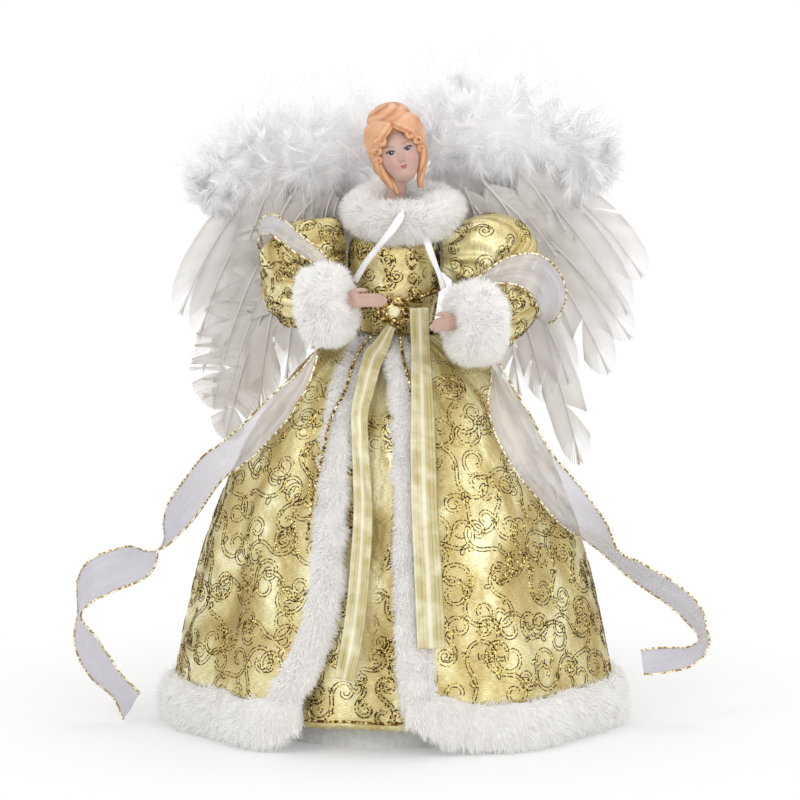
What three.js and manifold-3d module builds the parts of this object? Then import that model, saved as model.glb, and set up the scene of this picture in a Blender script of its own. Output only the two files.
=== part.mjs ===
// A light-up Christmas angel: a bisque doll bust on a white cone, in a gold brocade coat with fur
// trims, feather wings on wire frames, a wired organza shawl and a battery string of bulbs inside
// the cone. Millimetres, +Z up. The front faces -Y. Left and right are as seen from the front.
import * as THREE from "three";
import { mergeVertices } from "three/addons/utils/BufferGeometryUtils.js";
import Module from "manifold-3d";

const wasm = await Module();
wasm.setup();

// Driving sizes
const GAP = 0.4; // air left between pieces that touch
const CLOTH = 0.8; // a layer of brocade, satin or organza with its lining or stiffening
const CONE_FOOT_R = 94;
const CONE_TOP_R = 30;
const CONE_TOP_Z = 216;
const CONE_WALL = 2;
const COAT_DEPTH = 0.94; // the coat's size front to back over its width
const COAT_FLUTES = 9;
const COAT_FLUTE_DEPTH = 3.2;
const COAT_FOLDS = 7; // softer slanting folds between the waist and the hem
const COAT_FOLD_DEPTH = 1.8;
const COAT_CREASES = 19; // narrow folds between those
const COAT_CREASE_DEPTH = 0.9;
const UNDERSKIRT_FLUTES = 14;
const SHOULDER_Z = 283; // height of the hinge line through both shoulders
const ARM_PIN_R = 1.5;
const WING_PIN_R = 1.1;
const WING_PIN_X = 10;
const WING_PIN_Y = 41.2;
const FEATHER_THICK = 0.9;
const TRAIL_WIDTH = 24;
const LED_COUNT = 6;
const LED_R = 2.3;

const rad = THREE.MathUtils.degToRad;
const V = (x, y, z) => new THREE.Vector3(x, y, z);
const UP = V(0, 0, 1);
const range = (count, make) => Array.from({ length: count }, (_, i) => make(i));

// Finishes, with colours from the photograph
const finish = (color, roughness, metalness = 0) =>
  new THREE.MeshStandardMaterial({ color, roughness, metalness });
const BROCADE = finish(0xc9b46a, 0.42, 0.5);
const FUR = finish(0xf4f1f2, 0.95);
const FEATHER = finish(0xe9e4e2, 0.85);
const ORGANZA = finish(0xe4e2ec, 0.5);
const SATIN = finish(0xe9dfa4, 0.35);
const WHITE_SATIN = finish(0xf0eff5, 0.4);
const BISQUE = finish(0xdcb5a4, 0.7);
const GOLD = finish(0xc9a84c, 0.3, 1);
const STONE = finish(0xf2ecd0, 0.1);
const CARD = finish(0xf2f0ec, 0.8);
const FOAM = finish(0xe8e6e2, 0.9);
const WIRE = finish(0xb9bbbd, 0.4, 1);
const WHITE_PLASTIC = finish(0xf1f1ee, 0.45);
const BLACK_PLASTIC = finish(0x222222, 0.5);
const CELL = finish(0x3c5a44, 0.4);
const LED = finish(0xfff2c8, 0.15);

const figure = new THREE.Group();

function add(name, geometry, material) {
  const mesh = new THREE.Mesh(geometry, material);
  mesh.name = name;
  figure.add(mesh);
}

// Six times the signed volume, negative when the faces point inwards
function signedVolume(points, triangles) {
  let sum = 0;
  for (let i = 0; i < triangles.length; i += 3) {
    const [a, b, c] = [0, 1, 2].map((k) => points[triangles[i + k]]);
    sum += a.dot(b.clone().cross(c));
  }
  return sum;
}

// A closed geometry from points and triangles, with its faces turned outwards
function closed(points, triangles) {
  if (signedVolume(points, triangles) < 0) {
    for (let i = 0; i < triangles.length; i += 3)
      [triangles[i + 1], triangles[i + 2]] = [triangles[i + 2], triangles[i + 1]];
  }
  return new THREE.BufferGeometry().setFromPoints(points).setIndex(triangles);
}

// A solid through a stack of rings of equal count, closed by a fan at each end
function loft(rings) {
  const sides = rings[0].length;
  const points = rings.flat();
  const triangles = [];
  for (let i = 0; i + 1 < rings.length; i++) {
    for (let j = 0; j < sides; j++) {
      const a = i * sides + j, b = i * sides + ((j + 1) % sides);
      triangles.push(a, b, b + sides, a, b + sides, a + sides);
    }
  }
  for (const [first, flip] of [[0, true], [(rings.length - 1) * sides, false]]) {
    const ring = points.slice(first, first + sides);
    points.push(ring.reduce((sum, p) => sum.add(p), V(0, 0, 0)).divideScalar(sides));
    for (let j = 0; j < sides; j++) {
      const a = first + j, b = first + ((j + 1) % sides);
      triangles.push(...(flip ? [points.length - 1, b, a] : [points.length - 1, a, b]));
    }
  }
  return closed(points, triangles);
}

// A sheet about a grid of points, grid[i][j]; a wrapped one joins its last i to its first
function sheet(grid, wraps = false) {
  const nu = grid.length, nv = grid[0].length;
  const column = (i) => grid[wraps ? (i + nu) % nu : Math.min(nu - 1, Math.max(0, i))];
  const at = (i, j) => column(i)[Math.min(nv - 1, Math.max(0, j))];
  const points = [];
  for (const side of [0.5, -0.5])
    for (let i = 0; i < nu; i++)
      for (let j = 0; j < nv; j++) {
        const du = at(i + 1, j).clone().sub(at(i - 1, j));
        const dv = at(i, j + 1).clone().sub(at(i, j - 1));
        points.push(at(i, j).clone().addScaledVector(du.cross(dv).normalize(), side * CLOTH));
      }
  const id = (layer, i, j) => layer * nu * nv + (i % nu) * nv + j;
  const triangles = [];
  const quad = (a, b, c, d) => triangles.push(a, b, c, a, c, d);
  for (let i = 0; i < (wraps ? nu : nu - 1); i++) {
    for (let j = 0; j + 1 < nv; j++) {
      quad(id(0, i, j), id(0, i + 1, j), id(0, i + 1, j + 1), id(0, i, j + 1));
      quad(id(1, i, j), id(1, i, j + 1), id(1, i + 1, j + 1), id(1, i + 1, j));
    }
    quad(id(0, i, 0), id(1, i, 0), id(1, i + 1, 0), id(0, i + 1, 0));
    quad(id(0, i, nv - 1), id(0, i + 1, nv - 1), id(1, i + 1, nv - 1), id(1, i, nv - 1));
  }
  for (let j = 0; !wraps && j + 1 < nv; j++) {
    quad(id(0, 0, j), id(0, 0, j + 1), id(1, 0, j + 1), id(1, 0, j));
    quad(id(0, nu - 1, j), id(1, nu - 1, j), id(1, nu - 1, j + 1), id(0, nu - 1, j + 1));
  }
  return closed(points, triangles);
}

// A profile of [radius, height] points turned about the vertical axis
const turned = (profile, segments) =>
  new THREE.LatheGeometry(profile.map(([r, z]) => new THREE.Vector2(r, z)), segments)
    .rotateX(Math.PI / 2);

// A round bar along a curve, and a smooth curve through points
function bar(curve, radius, sides, steps) {
  const section = new THREE.Shape(range(sides, (i) => {
    const a = (i / sides) * 2 * Math.PI;
    return new THREE.Vector2(radius * Math.cos(a), radius * Math.sin(a));
  }));
  return new THREE.ExtrudeGeometry(section, { steps, extrudePath: curve });
}
const through = (...points) =>
  new THREE.CatmullRomCurve3(points.map((p) => V(...p)), false, "centripetal");

// A cylinder from one point to another, a block between limits, and an egg-shaped solid
function rod(from, to, radius, sides = 12) {
  const axis = to.clone().sub(from);
  const turn = new THREE.Quaternion().setFromUnitVectors(V(0, 1, 0), axis.clone().normalize());
  const middle = from.clone().add(to).divideScalar(2);
  return new THREE.CylinderGeometry(radius, radius, axis.length(), sides)
    .applyQuaternion(turn).translate(...middle.toArray());
}
const block = (x0, x1, y0, y1, z0, z1) =>
  new THREE.BoxGeometry(x1 - x0, y1 - y0, z1 - z0)
    .translate((x0 + x1) / 2, (y0 + y1) / 2, (z0 + z1) / 2);
const egg = (centre, radii, wide = 14, high = 10) =>
  new THREE.SphereGeometry(1, wide, high).scale(...radii).translate(...centre);

// Cuts and joins
function toSolid(geometry) {
  const bare = geometry.index ? geometry.toNonIndexed() : geometry.clone();
  bare.deleteAttribute("normal");
  bare.deleteAttribute("uv");
  const merged = mergeVertices(bare, 1e-4);
  return new wasm.Manifold(new wasm.Mesh({
    numProp: 3,
    vertProperties: merged.attributes.position.array,
    triVerts: new Uint32Array(merged.index.array),
  }));
}
function fromSolid(solid) {
  const mesh = solid.getMesh();
  return new THREE.BufferGeometry()
    .setAttribute("position", new THREE.BufferAttribute(new Float32Array(mesh.vertProperties), 3))
    .setIndex(new THREE.BufferAttribute(new Uint32Array(mesh.triVerts), 1));
}
const cut = (geometry, ...tools) =>
  fromSolid(tools.reduce((solid, tool) => solid.subtract(toSolid(tool)), toSolid(geometry)));
const join = (...pieces) => fromSolid(pieces.map(toSolid).reduce((a, b) => a.add(b)));

// The largest of the bodies that a cut has left
const largest = (geometry) =>
  fromSolid(toSolid(geometry).decompose().sort((a, b) => b.volume() - a.volume())[0]);

// A smooth value through [where, value] stops
function stops(list) {
  const curve = new THREE.CatmullRomCurve3(
    list.map(([x, y]) => V(x, y, 0)), false, "catmullrom", 0.5);
  const samples = curve.getPoints(200);
  return (x) => {
    let i = 1;
    while (i < samples.length - 1 && samples[i].x < x) i++;
    const a = samples[i - 1], b = samples[i];
    const share = Math.min(1, Math.max(0, (x - a.x) / (b.x - a.x || 1)));
    return a.y + (b.y - a.y) * share;
  };
}
const evenStops = (values) => stops(values.map((value, i) => [i / (values.length - 1), value]));

// The white cone that carries everything; a tree's tip goes up into it, and bulbs show through it
const coneRadius = (z) => CONE_FOOT_R + (CONE_TOP_R - CONE_FOOT_R) * (z / CONE_TOP_Z);
const around = (angle, r, z) => V(r * Math.cos(angle), r * Math.sin(angle), z);
const LED_FIRST = { angle: rad(115), z: 96 };
const LED_STEP = { angle: rad(70), z: 17 };
const ledPlace = (i) => ({
  angle: LED_FIRST.angle + LED_STEP.angle * i,
  z: LED_FIRST.z + LED_STEP.z * i,
});
const ledRod = ({ angle, z }, inner, outer, radius) => {
  const r = coneRadius(z);
  return rod(around(angle, r + inner, z), around(angle, r + outer, z), radius, 8);
};

function skirtCone() {
  const profile = [
    [0, CONE_TOP_Z - CONE_WALL], [CONE_TOP_R - CONE_WALL, CONE_TOP_Z - CONE_WALL],
    [CONE_FOOT_R - CONE_WALL, 0], [CONE_FOOT_R, 0], [CONE_TOP_R, CONE_TOP_Z], [0, CONE_TOP_Z],
  ];
  const holes = range(LED_COUNT, (i) => ledRod(ledPlace(i), -6, 6, LED_R + GAP));
  add("skirt_cone", cut(turned(profile, 40), ...holes), CARD);
}

// The coat: a bell in gold brocade, open at the front, with a fur band down each edge
const COAT_PROFILE = new THREE.CubicBezierCurve(
  new THREE.Vector2(25.5, 235), new THREE.Vector2(88, 208),
  new THREE.Vector2(115, 112), new THREE.Vector2(133, 8));
const COAT_END = 0.93; // how far down the profile the cloth reaches
// Angle of each fur band's middle from the front in degrees, and half its width, down the profile
const bandAngle = {
  left: stops([[0, -33], [0.25, -28], [0.5, -22], [0.75, -21.5], [0.93, -30], [1, -33]]),
  right: stops([[0, 2], [0.25, 5.2], [0.5, 5.7], [0.75, 5.2], [0.93, 6.7], [1, 7]]),
};
const bandHalfWidth = stops([[0, 7.6], [0.25, 9], [0.5, 10], [0.75, 11], [0.93, 13], [1, 13.5]]);
const flute = (angle) => COAT_FLUTE_DEPTH * Math.cos(COAT_FLUTES * angle + 0.7 * Math.sin(2 * angle));
const fold = (s, angle) => COAT_FOLD_DEPTH * Math.sin(Math.PI * s)
  * Math.cos(COAT_FOLDS * angle + 4 * s + 1.2 * Math.sin(3 * angle));
const crease = (s, angle) => COAT_CREASE_DEPTH * Math.sin(Math.PI * s)
  * Math.cos(COAT_CREASES * angle - 5 * s + 1.6 * Math.sin(4 * angle));

// A point on the coat's middle surface or above it; the angle is from the front, towards +X
function coatPoint(s, angle, above = 0) {
  const p = COAT_PROFILE.getPoint(s);
  const r = p.x + flute(angle) * s * s + above;
  return V(r * Math.sin(angle), -r * Math.cos(angle) * COAT_DEPTH, p.y);
}
const bandEdge = (s, side, share) =>
  rad(bandAngle[side](s)) + (share * bandHalfWidth(s)) / COAT_PROFILE.getPoint(s).x;

function coatSkirt() {
  const across = 80, down = 6;
  const grid = range(across + 1, (i) => range(down + 1, (j) => {
    const s = (COAT_END * j) / down;
    const from = bandEdge(s, "right", 1.1), to = 2 * Math.PI + bandEdge(s, "left", -1.1);
    const angle = from + ((to - from) * i) / across;
    return coatPoint(s, angle, fold(s, angle) + crease(s, angle));
  }));
  add("coat_skirt", sheet(grid), BROCADE);
}

function furBand(side) {
  const rows = 10, sides = 8, halfThick = 5, lift = 1.5;
  const rings = range(rows + 1, (i) => {
    const s = (COAT_END * i) / rows;
    const swell = i % rows ? 1 : 0.75;
    return range(sides, (j) => {
      const a = (j / sides) * 2 * Math.PI;
      return coatPoint(s, bandEdge(s, side, swell * Math.cos(a)), lift + halfThick * swell * Math.sin(a));
    });
  });
  add(`fur_band_${side}`, loft(rings), FUR);
}

function furHem() {
  const steps = 54, sides = 9;
  const halfHigh = 14.6, halfThick = 8.5, middleZ = 14.4, middleR = 131.5;
  const first = 3, last = 335; // degrees round from the front
  const rings = range(steps + 1, (i) => {
    const angle = rad(first + ((last - first) * i) / steps);
    const swell = [0.55, 0.88][Math.min(i, steps - i)] ?? 1;
    return range(sides, (j) => {
      const a = (j / sides) * 2 * Math.PI;
      const r = middleR + flute(angle) + halfThick * swell * Math.cos(a);
      const z = Math.max(0, middleZ + halfHigh * swell * Math.sin(a));
      return V(r * Math.sin(angle), -r * Math.cos(angle) * COAT_DEPTH, z);
    });
  });
  add("fur_hem", loft(rings), FUR);
}

// The underskirt: a fuller brocade skirt inside the coat, seen between the coat's fronts
const UNDERSKIRT_PROFILE = new THREE.CubicBezierCurve(
  new THREE.Vector2(33.6, 219), new THREE.Vector2(80, 196),
  new THREE.Vector2(104, 110), new THREE.Vector2(116, 14));

function underskirt() {
  const across = UNDERSKIRT_FLUTES * 4, down = 5;
  const grid = range(across, (i) => range(down + 1, (j) => {
    const share = j / down, angle = (i / across) * 2 * Math.PI;
    const p = UNDERSKIRT_PROFILE.getPoint(share);
    const r = p.x + (0.3 + 1.4 * share) * Math.cos(UNDERSKIRT_FLUTES * angle);
    return V(r * Math.sin(angle), -r * Math.cos(angle) * COAT_DEPTH, p.y);
  }));
  add("underskirt", sheet(grid, true), BROCADE);
}

// The torso: a plastic body form on the cone, with a neck socket and two shoulder sockets
const NECK_R = 6.5;
const BODICE_OFF = 1.7; // the bodice's outer surface over the torso's
const torsoProfile = (off) =>
  [[21 + off, 236], [25 + off, 262], [25 + off, 286], [20 + off, 293], [11 + off, 297 + off]];
const shoulderHole = (side, inner, radius) =>
  rod(V(side * 40, 0, SHOULDER_Z), V(side * inner, 0, SHOULDER_Z), radius);

function torso() {
  const profile = [[0, CONE_TOP_Z + GAP], [21, CONE_TOP_Z + GAP], ...torsoProfile(0), [0, 297]];
  const neckSocket = rod(V(0, 0, 283), V(0, 0, 310), NECK_R + GAP);
  const sockets = [-1, 1].map((side) => shoulderHole(side, 13, ARM_PIN_R + GAP));
  add("torso_form", cut(turned(profile, 20), neckSocket, ...sockets), WHITE_PLASTIC);
}
function bodice() {
  const outer = torsoProfile(BODICE_OFF), inner = torsoProfile(BODICE_OFF - CLOTH - 0.2);
  const profile = [...outer, ...inner.reverse(), outer[0]];
  const holes = [-1, 1].map((side) => shoulderHole(side, 13, ARM_PIN_R + 1));
  add("bodice", cut(turned(profile, 20), ...holes), BROCADE);
}

// The head: bisque, with moulded and painted hair, on a neck post that is glued in the torso
const HEAD_TILT = 12; // degrees, top towards -X
function head() {
  const skull = egg([0, 0, 0], [13.5, 15, 18], 16, 12);
  const face = egg([0, -6, -4], [11.5, 11, 17], 14, 10);
  const hair = egg([0, 4, 5.5], [17.5, 16.5, 19.5], 16, 12);
  const rolls = egg([0, 7, -7], [16, 11, 14], 14, 8);
  const bun = egg([0, 6, 20], [10.5, 10, 8], 14, 8);
  const top = join(skull, hair, rolls, bun, face)
    .rotateX(rad(4)).rotateY(rad(-HEAD_TILT)).translate(2, -5, 347);
  const neck = through([0, 0, 285], [0, 0, 304], [1, -1, 320], [3, -3, 338]);
  add("head", join(top, bar(neck, NECK_R, 12, 4)), BISQUE);
}

function furCollar() {
  const ring = range(10, (i) => {
    const a = (i / 9) * 2 * Math.PI;
    return [23 + 14 * Math.cos(a), 12.5 * Math.sin(a)];
  });
  const torus = turned(ring, 24).rotateX(rad(9)).translate(0.5, -1.5, 308.5);
  const shoulders = torsoProfile(BODICE_OFF + GAP);
  add("fur_collar", cut(torus, turned([[0, 270], [30, 270], ...shoulders.slice(2), [0, 300]], 20)), FUR);
}

// Arms: a bent wire from a shoulder socket to a bisque hand, in a puff round the hinge line, a lower
// sleeve and a fur cuff, with a loop of the organza shawl over the elbow
const ARMS = {
  left: {
    side: -1,
    puff: [[28.9, 7], [32, 12], [40, 18.5], [50, 21.5], [60, 20.5], [68, 15], [72, 6]],
    sleeve: [[58, 1, 268, 6], [62, -6, 264, 14], [64, -14, 262, 17.5], [62, -24, 261, 18],
      [56, -34, 260.5, 16.5], [53, -40, 260.5, 13.5]],
    cuff: [40, -50, 260],
    hand: [5.5, -60, 266],
  },
  right: {
    side: 1,
    puff: [[28.9, 7], [33, 13], [43, 20], [57, 23], [71, 22], [83, 16], [88.5, 6]],
    sleeve: [[70, 1, 262, 6], [74, -6, 257, 14], [76, -14, 254, 17.5], [72, -26, 251, 18],
      [64, -35, 249.5, 16.5], [61, -40, 249, 13.5]],
    cuff: [48, -50, 249],
    hand: [23, -62, 250],
  },
};
const CUFF_LENGTH = 24;
const CUFF_R = 24;
const WRIST_R = 4.2;
// The loop of the shawl comes out between puff and cuff and turns back round the elbow:
// [x, y, z, twist] stations and the widths from the cuff to its end
const LOOPS = {
  left: {
    widths: [5, 8, 9.5, 10, 11, 12, 12, 10],
    stations: [[-42, -33, 285, 0], [-49, -31, 289, 0], [-57, -27, 294, 0], [-66, -19, 299, 10],
      [-73, -10, 302, 35], [-79, 0, 299, 70], [-81, 9, 291, 90], [-79, 15, 282, 90]],
  },
  right: {
    widths: [3, 12, 18, 23, 24, 22, 14, 8],
    stations: [[50, -40, 273, 0], [62, -40, 277, 0], [73, -39, 279, -10], [82, -36, 277, -20],
      [90, -31, 270, -30], [94, -25, 260, -30], [93, -17, 250, -25], [89, -8, 243, -20]],
  },
};

// A puff with its gathers running along the hinge line, from [distance out, radius] stations
function puffSolid(stations, side, off = 0) {
  const gathers = 8, rows = 9;
  const radius = stops(stations);
  const [first, last] = [stations[0][0], stations.at(-1)[0]];
  return loft(range(rows + 1, (i) => {
    const x = first + ((last - first) * (1 - Math.cos((i / rows) * Math.PI))) / 2;
    return range(gathers * 2, (j) => {
      const a = (j / (gathers * 2)) * 2 * Math.PI;
      const r = (radius(x) + off) * (j % 2 ? 0.95 : 1);
      return V(side * x, r * Math.cos(a), SHOULDER_Z + r * Math.sin(a));
    });
  }));
}

// A stuffed sleeve along [x, y, z, radius] stations
function sleeveSolid(stations, side, off = 0) {
  const gathers = 7, rows = 8;
  const path = new THREE.CatmullRomCurve3(stations.map(([x, y, z]) => V(side * x, y, z)));
  const radius = evenStops(stations.map(([, , , r]) => r));
  return loft(range(rows + 1, (i) => {
    const centre = path.getPoint(i / rows), along = path.getTangent(i / rows);
    const u = UP.clone().cross(along).normalize(), w = along.clone().cross(u);
    return range(gathers * 2, (j) => {
      const a = (j / (gathers * 2)) * 2 * Math.PI;
      const r = (radius(i / rows) + off) * (j % 2 ? 0.95 : 1);
      return centre.clone().addScaledVector(u, r * Math.cos(a)).addScaledVector(w, r * Math.sin(a));
    });
  }));
}

function arm(name) {
  const { side, puff, sleeve, cuff, hand } = ARMS[name];
  const cuffCentre = V(side * cuff[0], cuff[1], cuff[2]);
  const reach = V(side * hand[0], hand[1], hand[2]).sub(cuffCentre);
  const length = reach.length(), half = CUFF_LENGTH / 2;
  const outwards = reach.clone().normalize();
  const across = UP.clone().cross(outwards).normalize(), up = outwards.clone().cross(across);
  const turn = new THREE.Quaternion().setFromUnitVectors(UP, outwards);
  const at = (a, b, c) => cuffCentre.clone()
    .addScaledVector(outwards, a).addScaledVector(across, b).addScaledVector(up, c);

  const [elbowX, elbowY, elbowZ] = sleeve[2];
  const wireRoute = through(
    [side * 15, 0, SHOULDER_Z], [side * 34, 0, SHOULDER_Z],
    [side * (elbowX - 12), -2, SHOULDER_Z - 4], [side * elbowX, elbowY + 4, elbowZ + 4],
    [side * (elbowX - 4), elbowY - 12, elbowZ - 1], at(-half - 2, 0, 0).toArray());
  const tunnel = bar(wireRoute, ARM_PIN_R + GAP, 8, 14);
  add(`arm_wire_${name}`, bar(wireRoute, ARM_PIN_R, 8, 14), WIRE);

  const puffRoom = puffSolid(puff, side, 1.2), sleeveRoom = sleeveSolid(sleeve, side, 0.7);
  add(`sleeve_puff_${name}`, cut(puffSolid(puff, side), tunnel), BROCADE);
  add(`sleeve_lower_${name}`, largest(cut(sleeveSolid(sleeve, side), tunnel, puffRoom)), BROCADE);

  // The cuff is a fat fur ring on the wrist
  const bore = WRIST_R + GAP;
  const ring = [[bore, -half + 2], [14, -half], [CUFF_R - 2.5, -half + 3.5], [CUFF_R, 0],
    [CUFF_R - 3, half - 3.5], [14, half], [bore, half - 2], [bore, -half + 2]];
  const cuffSolid = turned(ring, 18).applyQuaternion(turn).translate(...cuffCentre.toArray());
  add(`fur_cuff_${name}`, largest(cut(cuffSolid, sleeveRoom, puffRoom)), FUR);

  // The hand: wrist, palm, four fingers and a thumb, cast in one
  const palm = new THREE.SphereGeometry(1, 10, 6).scale(3.2, 6.4, 6)
    .applyQuaternion(turn).translate(...at(half + 3, 0, 0).toArray());
  const fingers = [-4, -1.4, 1.2, 3.8].map((spread, i) => rod(
    at(half + 5, 0, spread), at(length - [2.6, 0.6, 0, 1.2][i], -1.4, spread * 0.9), 1.4, 6));
  const thumb = rod(at(half + 1, 0, 4.4), at(half + 7, side * 2, 7.4), 1.5, 6);
  const wrist = rod(at(-half, 0, 0), at(half + 2, 0, 0), WRIST_R, 10);
  add(`hand_${name}`, join(wrist, palm, thumb, ...fingers), BISQUE);

  const { widths, stations } = LOOPS[name];
  const grid = ribbonGrid(stations, evenStops(widths), 16, 3);
  add(`shawl_loop_${name}`, largest(cut(sheet(grid), puffRoom, sleeveRoom)), ORGANZA);
}

// Trims at the front: brooch, bead strings, satin tails and the collar's two satin ties
const BROOCH = { y: -27.8, z: 252.5, r: 10.2, thick: 1.6 };
function brooch() {
  const petals = 10;
  const outline = range(petals * 4, (i) => {
    const a = (i / (petals * 4)) * 2 * Math.PI;
    const r = BROOCH.r + 1.6 * Math.cos(petals * a);
    return new THREE.Vector2(r * Math.cos(a), r * 0.86 * Math.sin(a));
  });
  const plate = new THREE.ExtrudeGeometry(
    new THREE.Shape(outline), { depth: BROOCH.thick, bevelEnabled: false });
  add("brooch_mount", plate.rotateX(Math.PI / 2).translate(0, BROOCH.y, BROOCH.z), GOLD);
  const seat = BROOCH.y - BROOCH.thick - GAP;
  const dome = egg([0, seat, BROOCH.z], [4.6, 3.4, 4.6], 12, 8);
  add("brooch_stone", cut(dome, block(-20, 20, seat, seat + 20, 230, 270)), STONE);
}

// Each bead string hangs from the brooch over its fur band: [down the coat, across the band, above]
const BEADS = {
  left: [[0.02, 0.35, 9], [0.1, 0.4, 8.9], [0.2, 0.5, 8.8], [0.3, -0.05, 8.7], [0.4, -0.45, 7.8],
    [0.5, -1.05, 5], [0.6, -1.25, 3.4]],
  right: [[0.03, 0.26, 8.6], [0.1, 0.31, 8.3], [0.16, 0.4, 8.1], [0.235, 0.48, 8]],
};
function beadString(name) {
  const hung = BEADS[name].map(([s, share, above]) => coatPoint(s, bandEdge(s, name, share), above));
  const start = V(name === "left" ? -6.6 : 3.5, BROOCH.y - 3.2, BROOCH.z - 8.6);
  const curve = new THREE.CatmullRomCurve3([start, ...hung], false, "centripetal");
  add(`bead_string_${name}`, bar(curve, 1.15, 6, 14), GOLD);
}

// A ribbon along [x, y, z, twist] stations; at a twist of 0 degrees it faces the front
function ribbonGrid(stations, width, steps, cells) {
  const path = through(...stations.map(([x, y, z]) => [x, y, z]));
  const twist = evenStops(stations.map(([, , , turnBy]) => turnBy));
  return range(steps + 1, (i) => {
    const centre = path.getPoint(i / steps), along = path.getTangent(i / steps);
    const flat = V(0, 1, 0).cross(along).normalize(), deep = along.clone().cross(flat);
    const a = rad(twist(i / steps));
    const across = flat.multiplyScalar(Math.cos(a)).addScaledVector(deep, Math.sin(a));
    return range(cells + 1, (j) =>
      centre.clone().addScaledVector(across, width(i / steps) * (j / cells - 0.5)));
  });
}

// Each satin tail hangs over the coat from its pinned top: [distance from the middle, down the
// coat, above it]; its widths run from the top to the end
const TAILS = {
  left: { widths: [5, 12, 11, 10, 11, 12, 12], top: [-1.5, -31.8, 244],
    hung: [[-8, 0.03, 9.2], [-12.6, 0.09, 9], [-17.2, 0.2, 8.8], [-20, 0.27, 8.4], [-20, 0.36, 5.6],
      [-18.2, 0.52, 4], [-20, 0.66, 4], [-23.5, 0.79, 4], [-28.5, 0.92, 4]] },
  right: { widths: [11.6, 12.4, 13.4, 15, 16, 17], top: [15, -34, 255.5],
    hung: [[15.5, 0.04, 10.6], [16, 0.12, 10.6], [16.5, 0.2, 10.6], [17, 0.3, 9.6], [17.3, 0.4, 9],
      [18, 0.52, 8.8], [20, 0.66, 8.6], [22, 0.81, 8.6]] },
};
function satinTail(name) {
  const { widths, top, hung } = TAILS[name];
  const stations = hung.map(([x, s, above]) => {
    const angle = Math.asin(x / (COAT_PROFILE.getPoint(s).x + above));
    return [...coatPoint(s, angle, above).toArray(), -1.15 * THREE.MathUtils.radToDeg(angle)];
  });
  const grid = ribbonGrid([[...top, stations[0][3]], ...stations], evenStops(widths), 14, 2);
  add(`satin_tail_${name}`, sheet(grid), SATIN);
}

const TIES = {
  left: [[-5.5, -31.5, 291.5], [-12, -28, 284], [-19.5, -23, 272.5]],
  right: [[18, -26, 294], [22, -25.5, 282], [25, -25, 266]],
};
const collarTie = (name) =>
  add(`collar_tie_${name}`, bar(through(...TIES[name]), 1.9, 8, 4), WHITE_SATIN);

// The shawl's two trailing ends, with wired edges that hold their curves
const TRAILS = {
  left: [[-49, -56, 225, 40], [-56, -58, 213, 25], [-63, -57, 206, 10], [-70, -54, 197, 0],
    [-78, -49, 188, 0], [-88, -43, 176, 0], [-98, -34, 165.5, 5], [-109, -27, 157, 10],
    [-124, -13, 134, 25], [-135, -6, 116, 60], [-142, -4, 103, 95],
    [-155, -8, 96, 35], [-174, -14, 90, 20], [-185, -14, 80, 60], [-189, -12, 66, 85],
    [-186, -14, 49, 50], [-176, -20, 34, 25], [-165, -26, 22, 60], [-158, -34, 13.5, 110]],
  right: [[60, -48, 218, 70], [66, -54, 201, 30], [73, -57, 184, 0], [84, -58, 165, 0],
    [99, -52, 146, 0], [113, -40, 127, 20], [126, -24, 109, 60], [142, -12, 94, 30],
    [163, -10, 80, 10], [180, -12, 65, 40], [186, -17, 52, 80], [178, -23, 43, 55],
    [163, -27, 40, 20], [149, -29, 39, 0]],
};
const trailWidth = (share) => TRAIL_WIDTH * Math.min(1, 0.4 + 3.4 * share);
const shawlTrail = (name) =>
  add(`shawl_trail_${name}`, sheet(ribbonGrid(TRAILS[name], trailWidth, 32, 3)), ORGANZA);

// Wings: a bent wire on a hinge pin, a card backing, three fans of long feathers and a roll of down.
// Each feather is [root, tip, width]; each station of the down is [x, z, radius]
const WINGS = {
  left: {
    side: -1,
    arch: [[10, 300], [22, 322], [46, 337], [76, 333], [96, 322], [106, 311]],
    down: [[16, 330, 14], [30, 342, 27], [50, 341, 29], [72, 336, 24], [92, 330, 21],
      [106, 319, 18], [114, 311, 9]],
    feathers: [
      [[78, 324], [129, 239], 24], [[68, 326], [118, 225], 24], [[50, 308], [116, 205], 24],
      [[62, 306], [108, 180], 30], [[54, 300], [104, 172], 30], [[50, 296], [104, 163], 28],
      [[46, 320], [82, 182], 25], [[38, 314], [65, 201], 25], [[32, 306], [49, 219], 22],
    ],
  },
  right: {
    side: 1,
    arch: [[10, 300], [22, 330], [46, 349], [80, 346], [104, 336], [118, 324]],
    down: [[21, 334, 14], [33, 351, 28], [54, 360, 31], [78, 354, 29], [98, 342, 24],
      [117, 335, 21], [129, 331, 10]],
    feathers: [
      [[92, 326], [150, 262], 24], [[74, 328], [141, 240], 25], [[60, 312], [143, 225], 24],
      [[56, 316], [130, 204], 25], [[48, 306], [106, 198], 25], [[52, 296], [113, 148], 24],
      [[46, 302], [92, 188], 22], [[40, 312], [76, 190], 24], [[34, 306], [56, 210], 22],
    ],
  },
};
const CARD_FRONT_Y = 38.7;
const CARD_THICK = 1.2;

// A long feather in the plane of the wing, slightly bowed, from [share of length, half width]
function featherShape(root, tip, width) {
  const outline = [[0, 0.08], [0.2, 0.34], [0.45, 0.46], [0.7, 0.5], [0.86, 0.44], [0.95, 0.28]];
  const from = new THREE.Vector2(...root), along = new THREE.Vector2(...tip).sub(from);
  const across = new THREE.Vector2(-along.y, along.x).normalize();
  const bow = (t) => 0.05 * along.length() * Math.sin(Math.PI * t);
  const point = (t, half) => from.clone().addScaledVector(along, t)
    .addScaledVector(across, half * width + bow(t));
  return new THREE.Shape([
    ...outline.map(([t, half]) => point(t, half)), point(1, 0),
    ...outline.map(([t, half]) => point(t, -half)).reverse(),
  ]);
}
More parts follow.
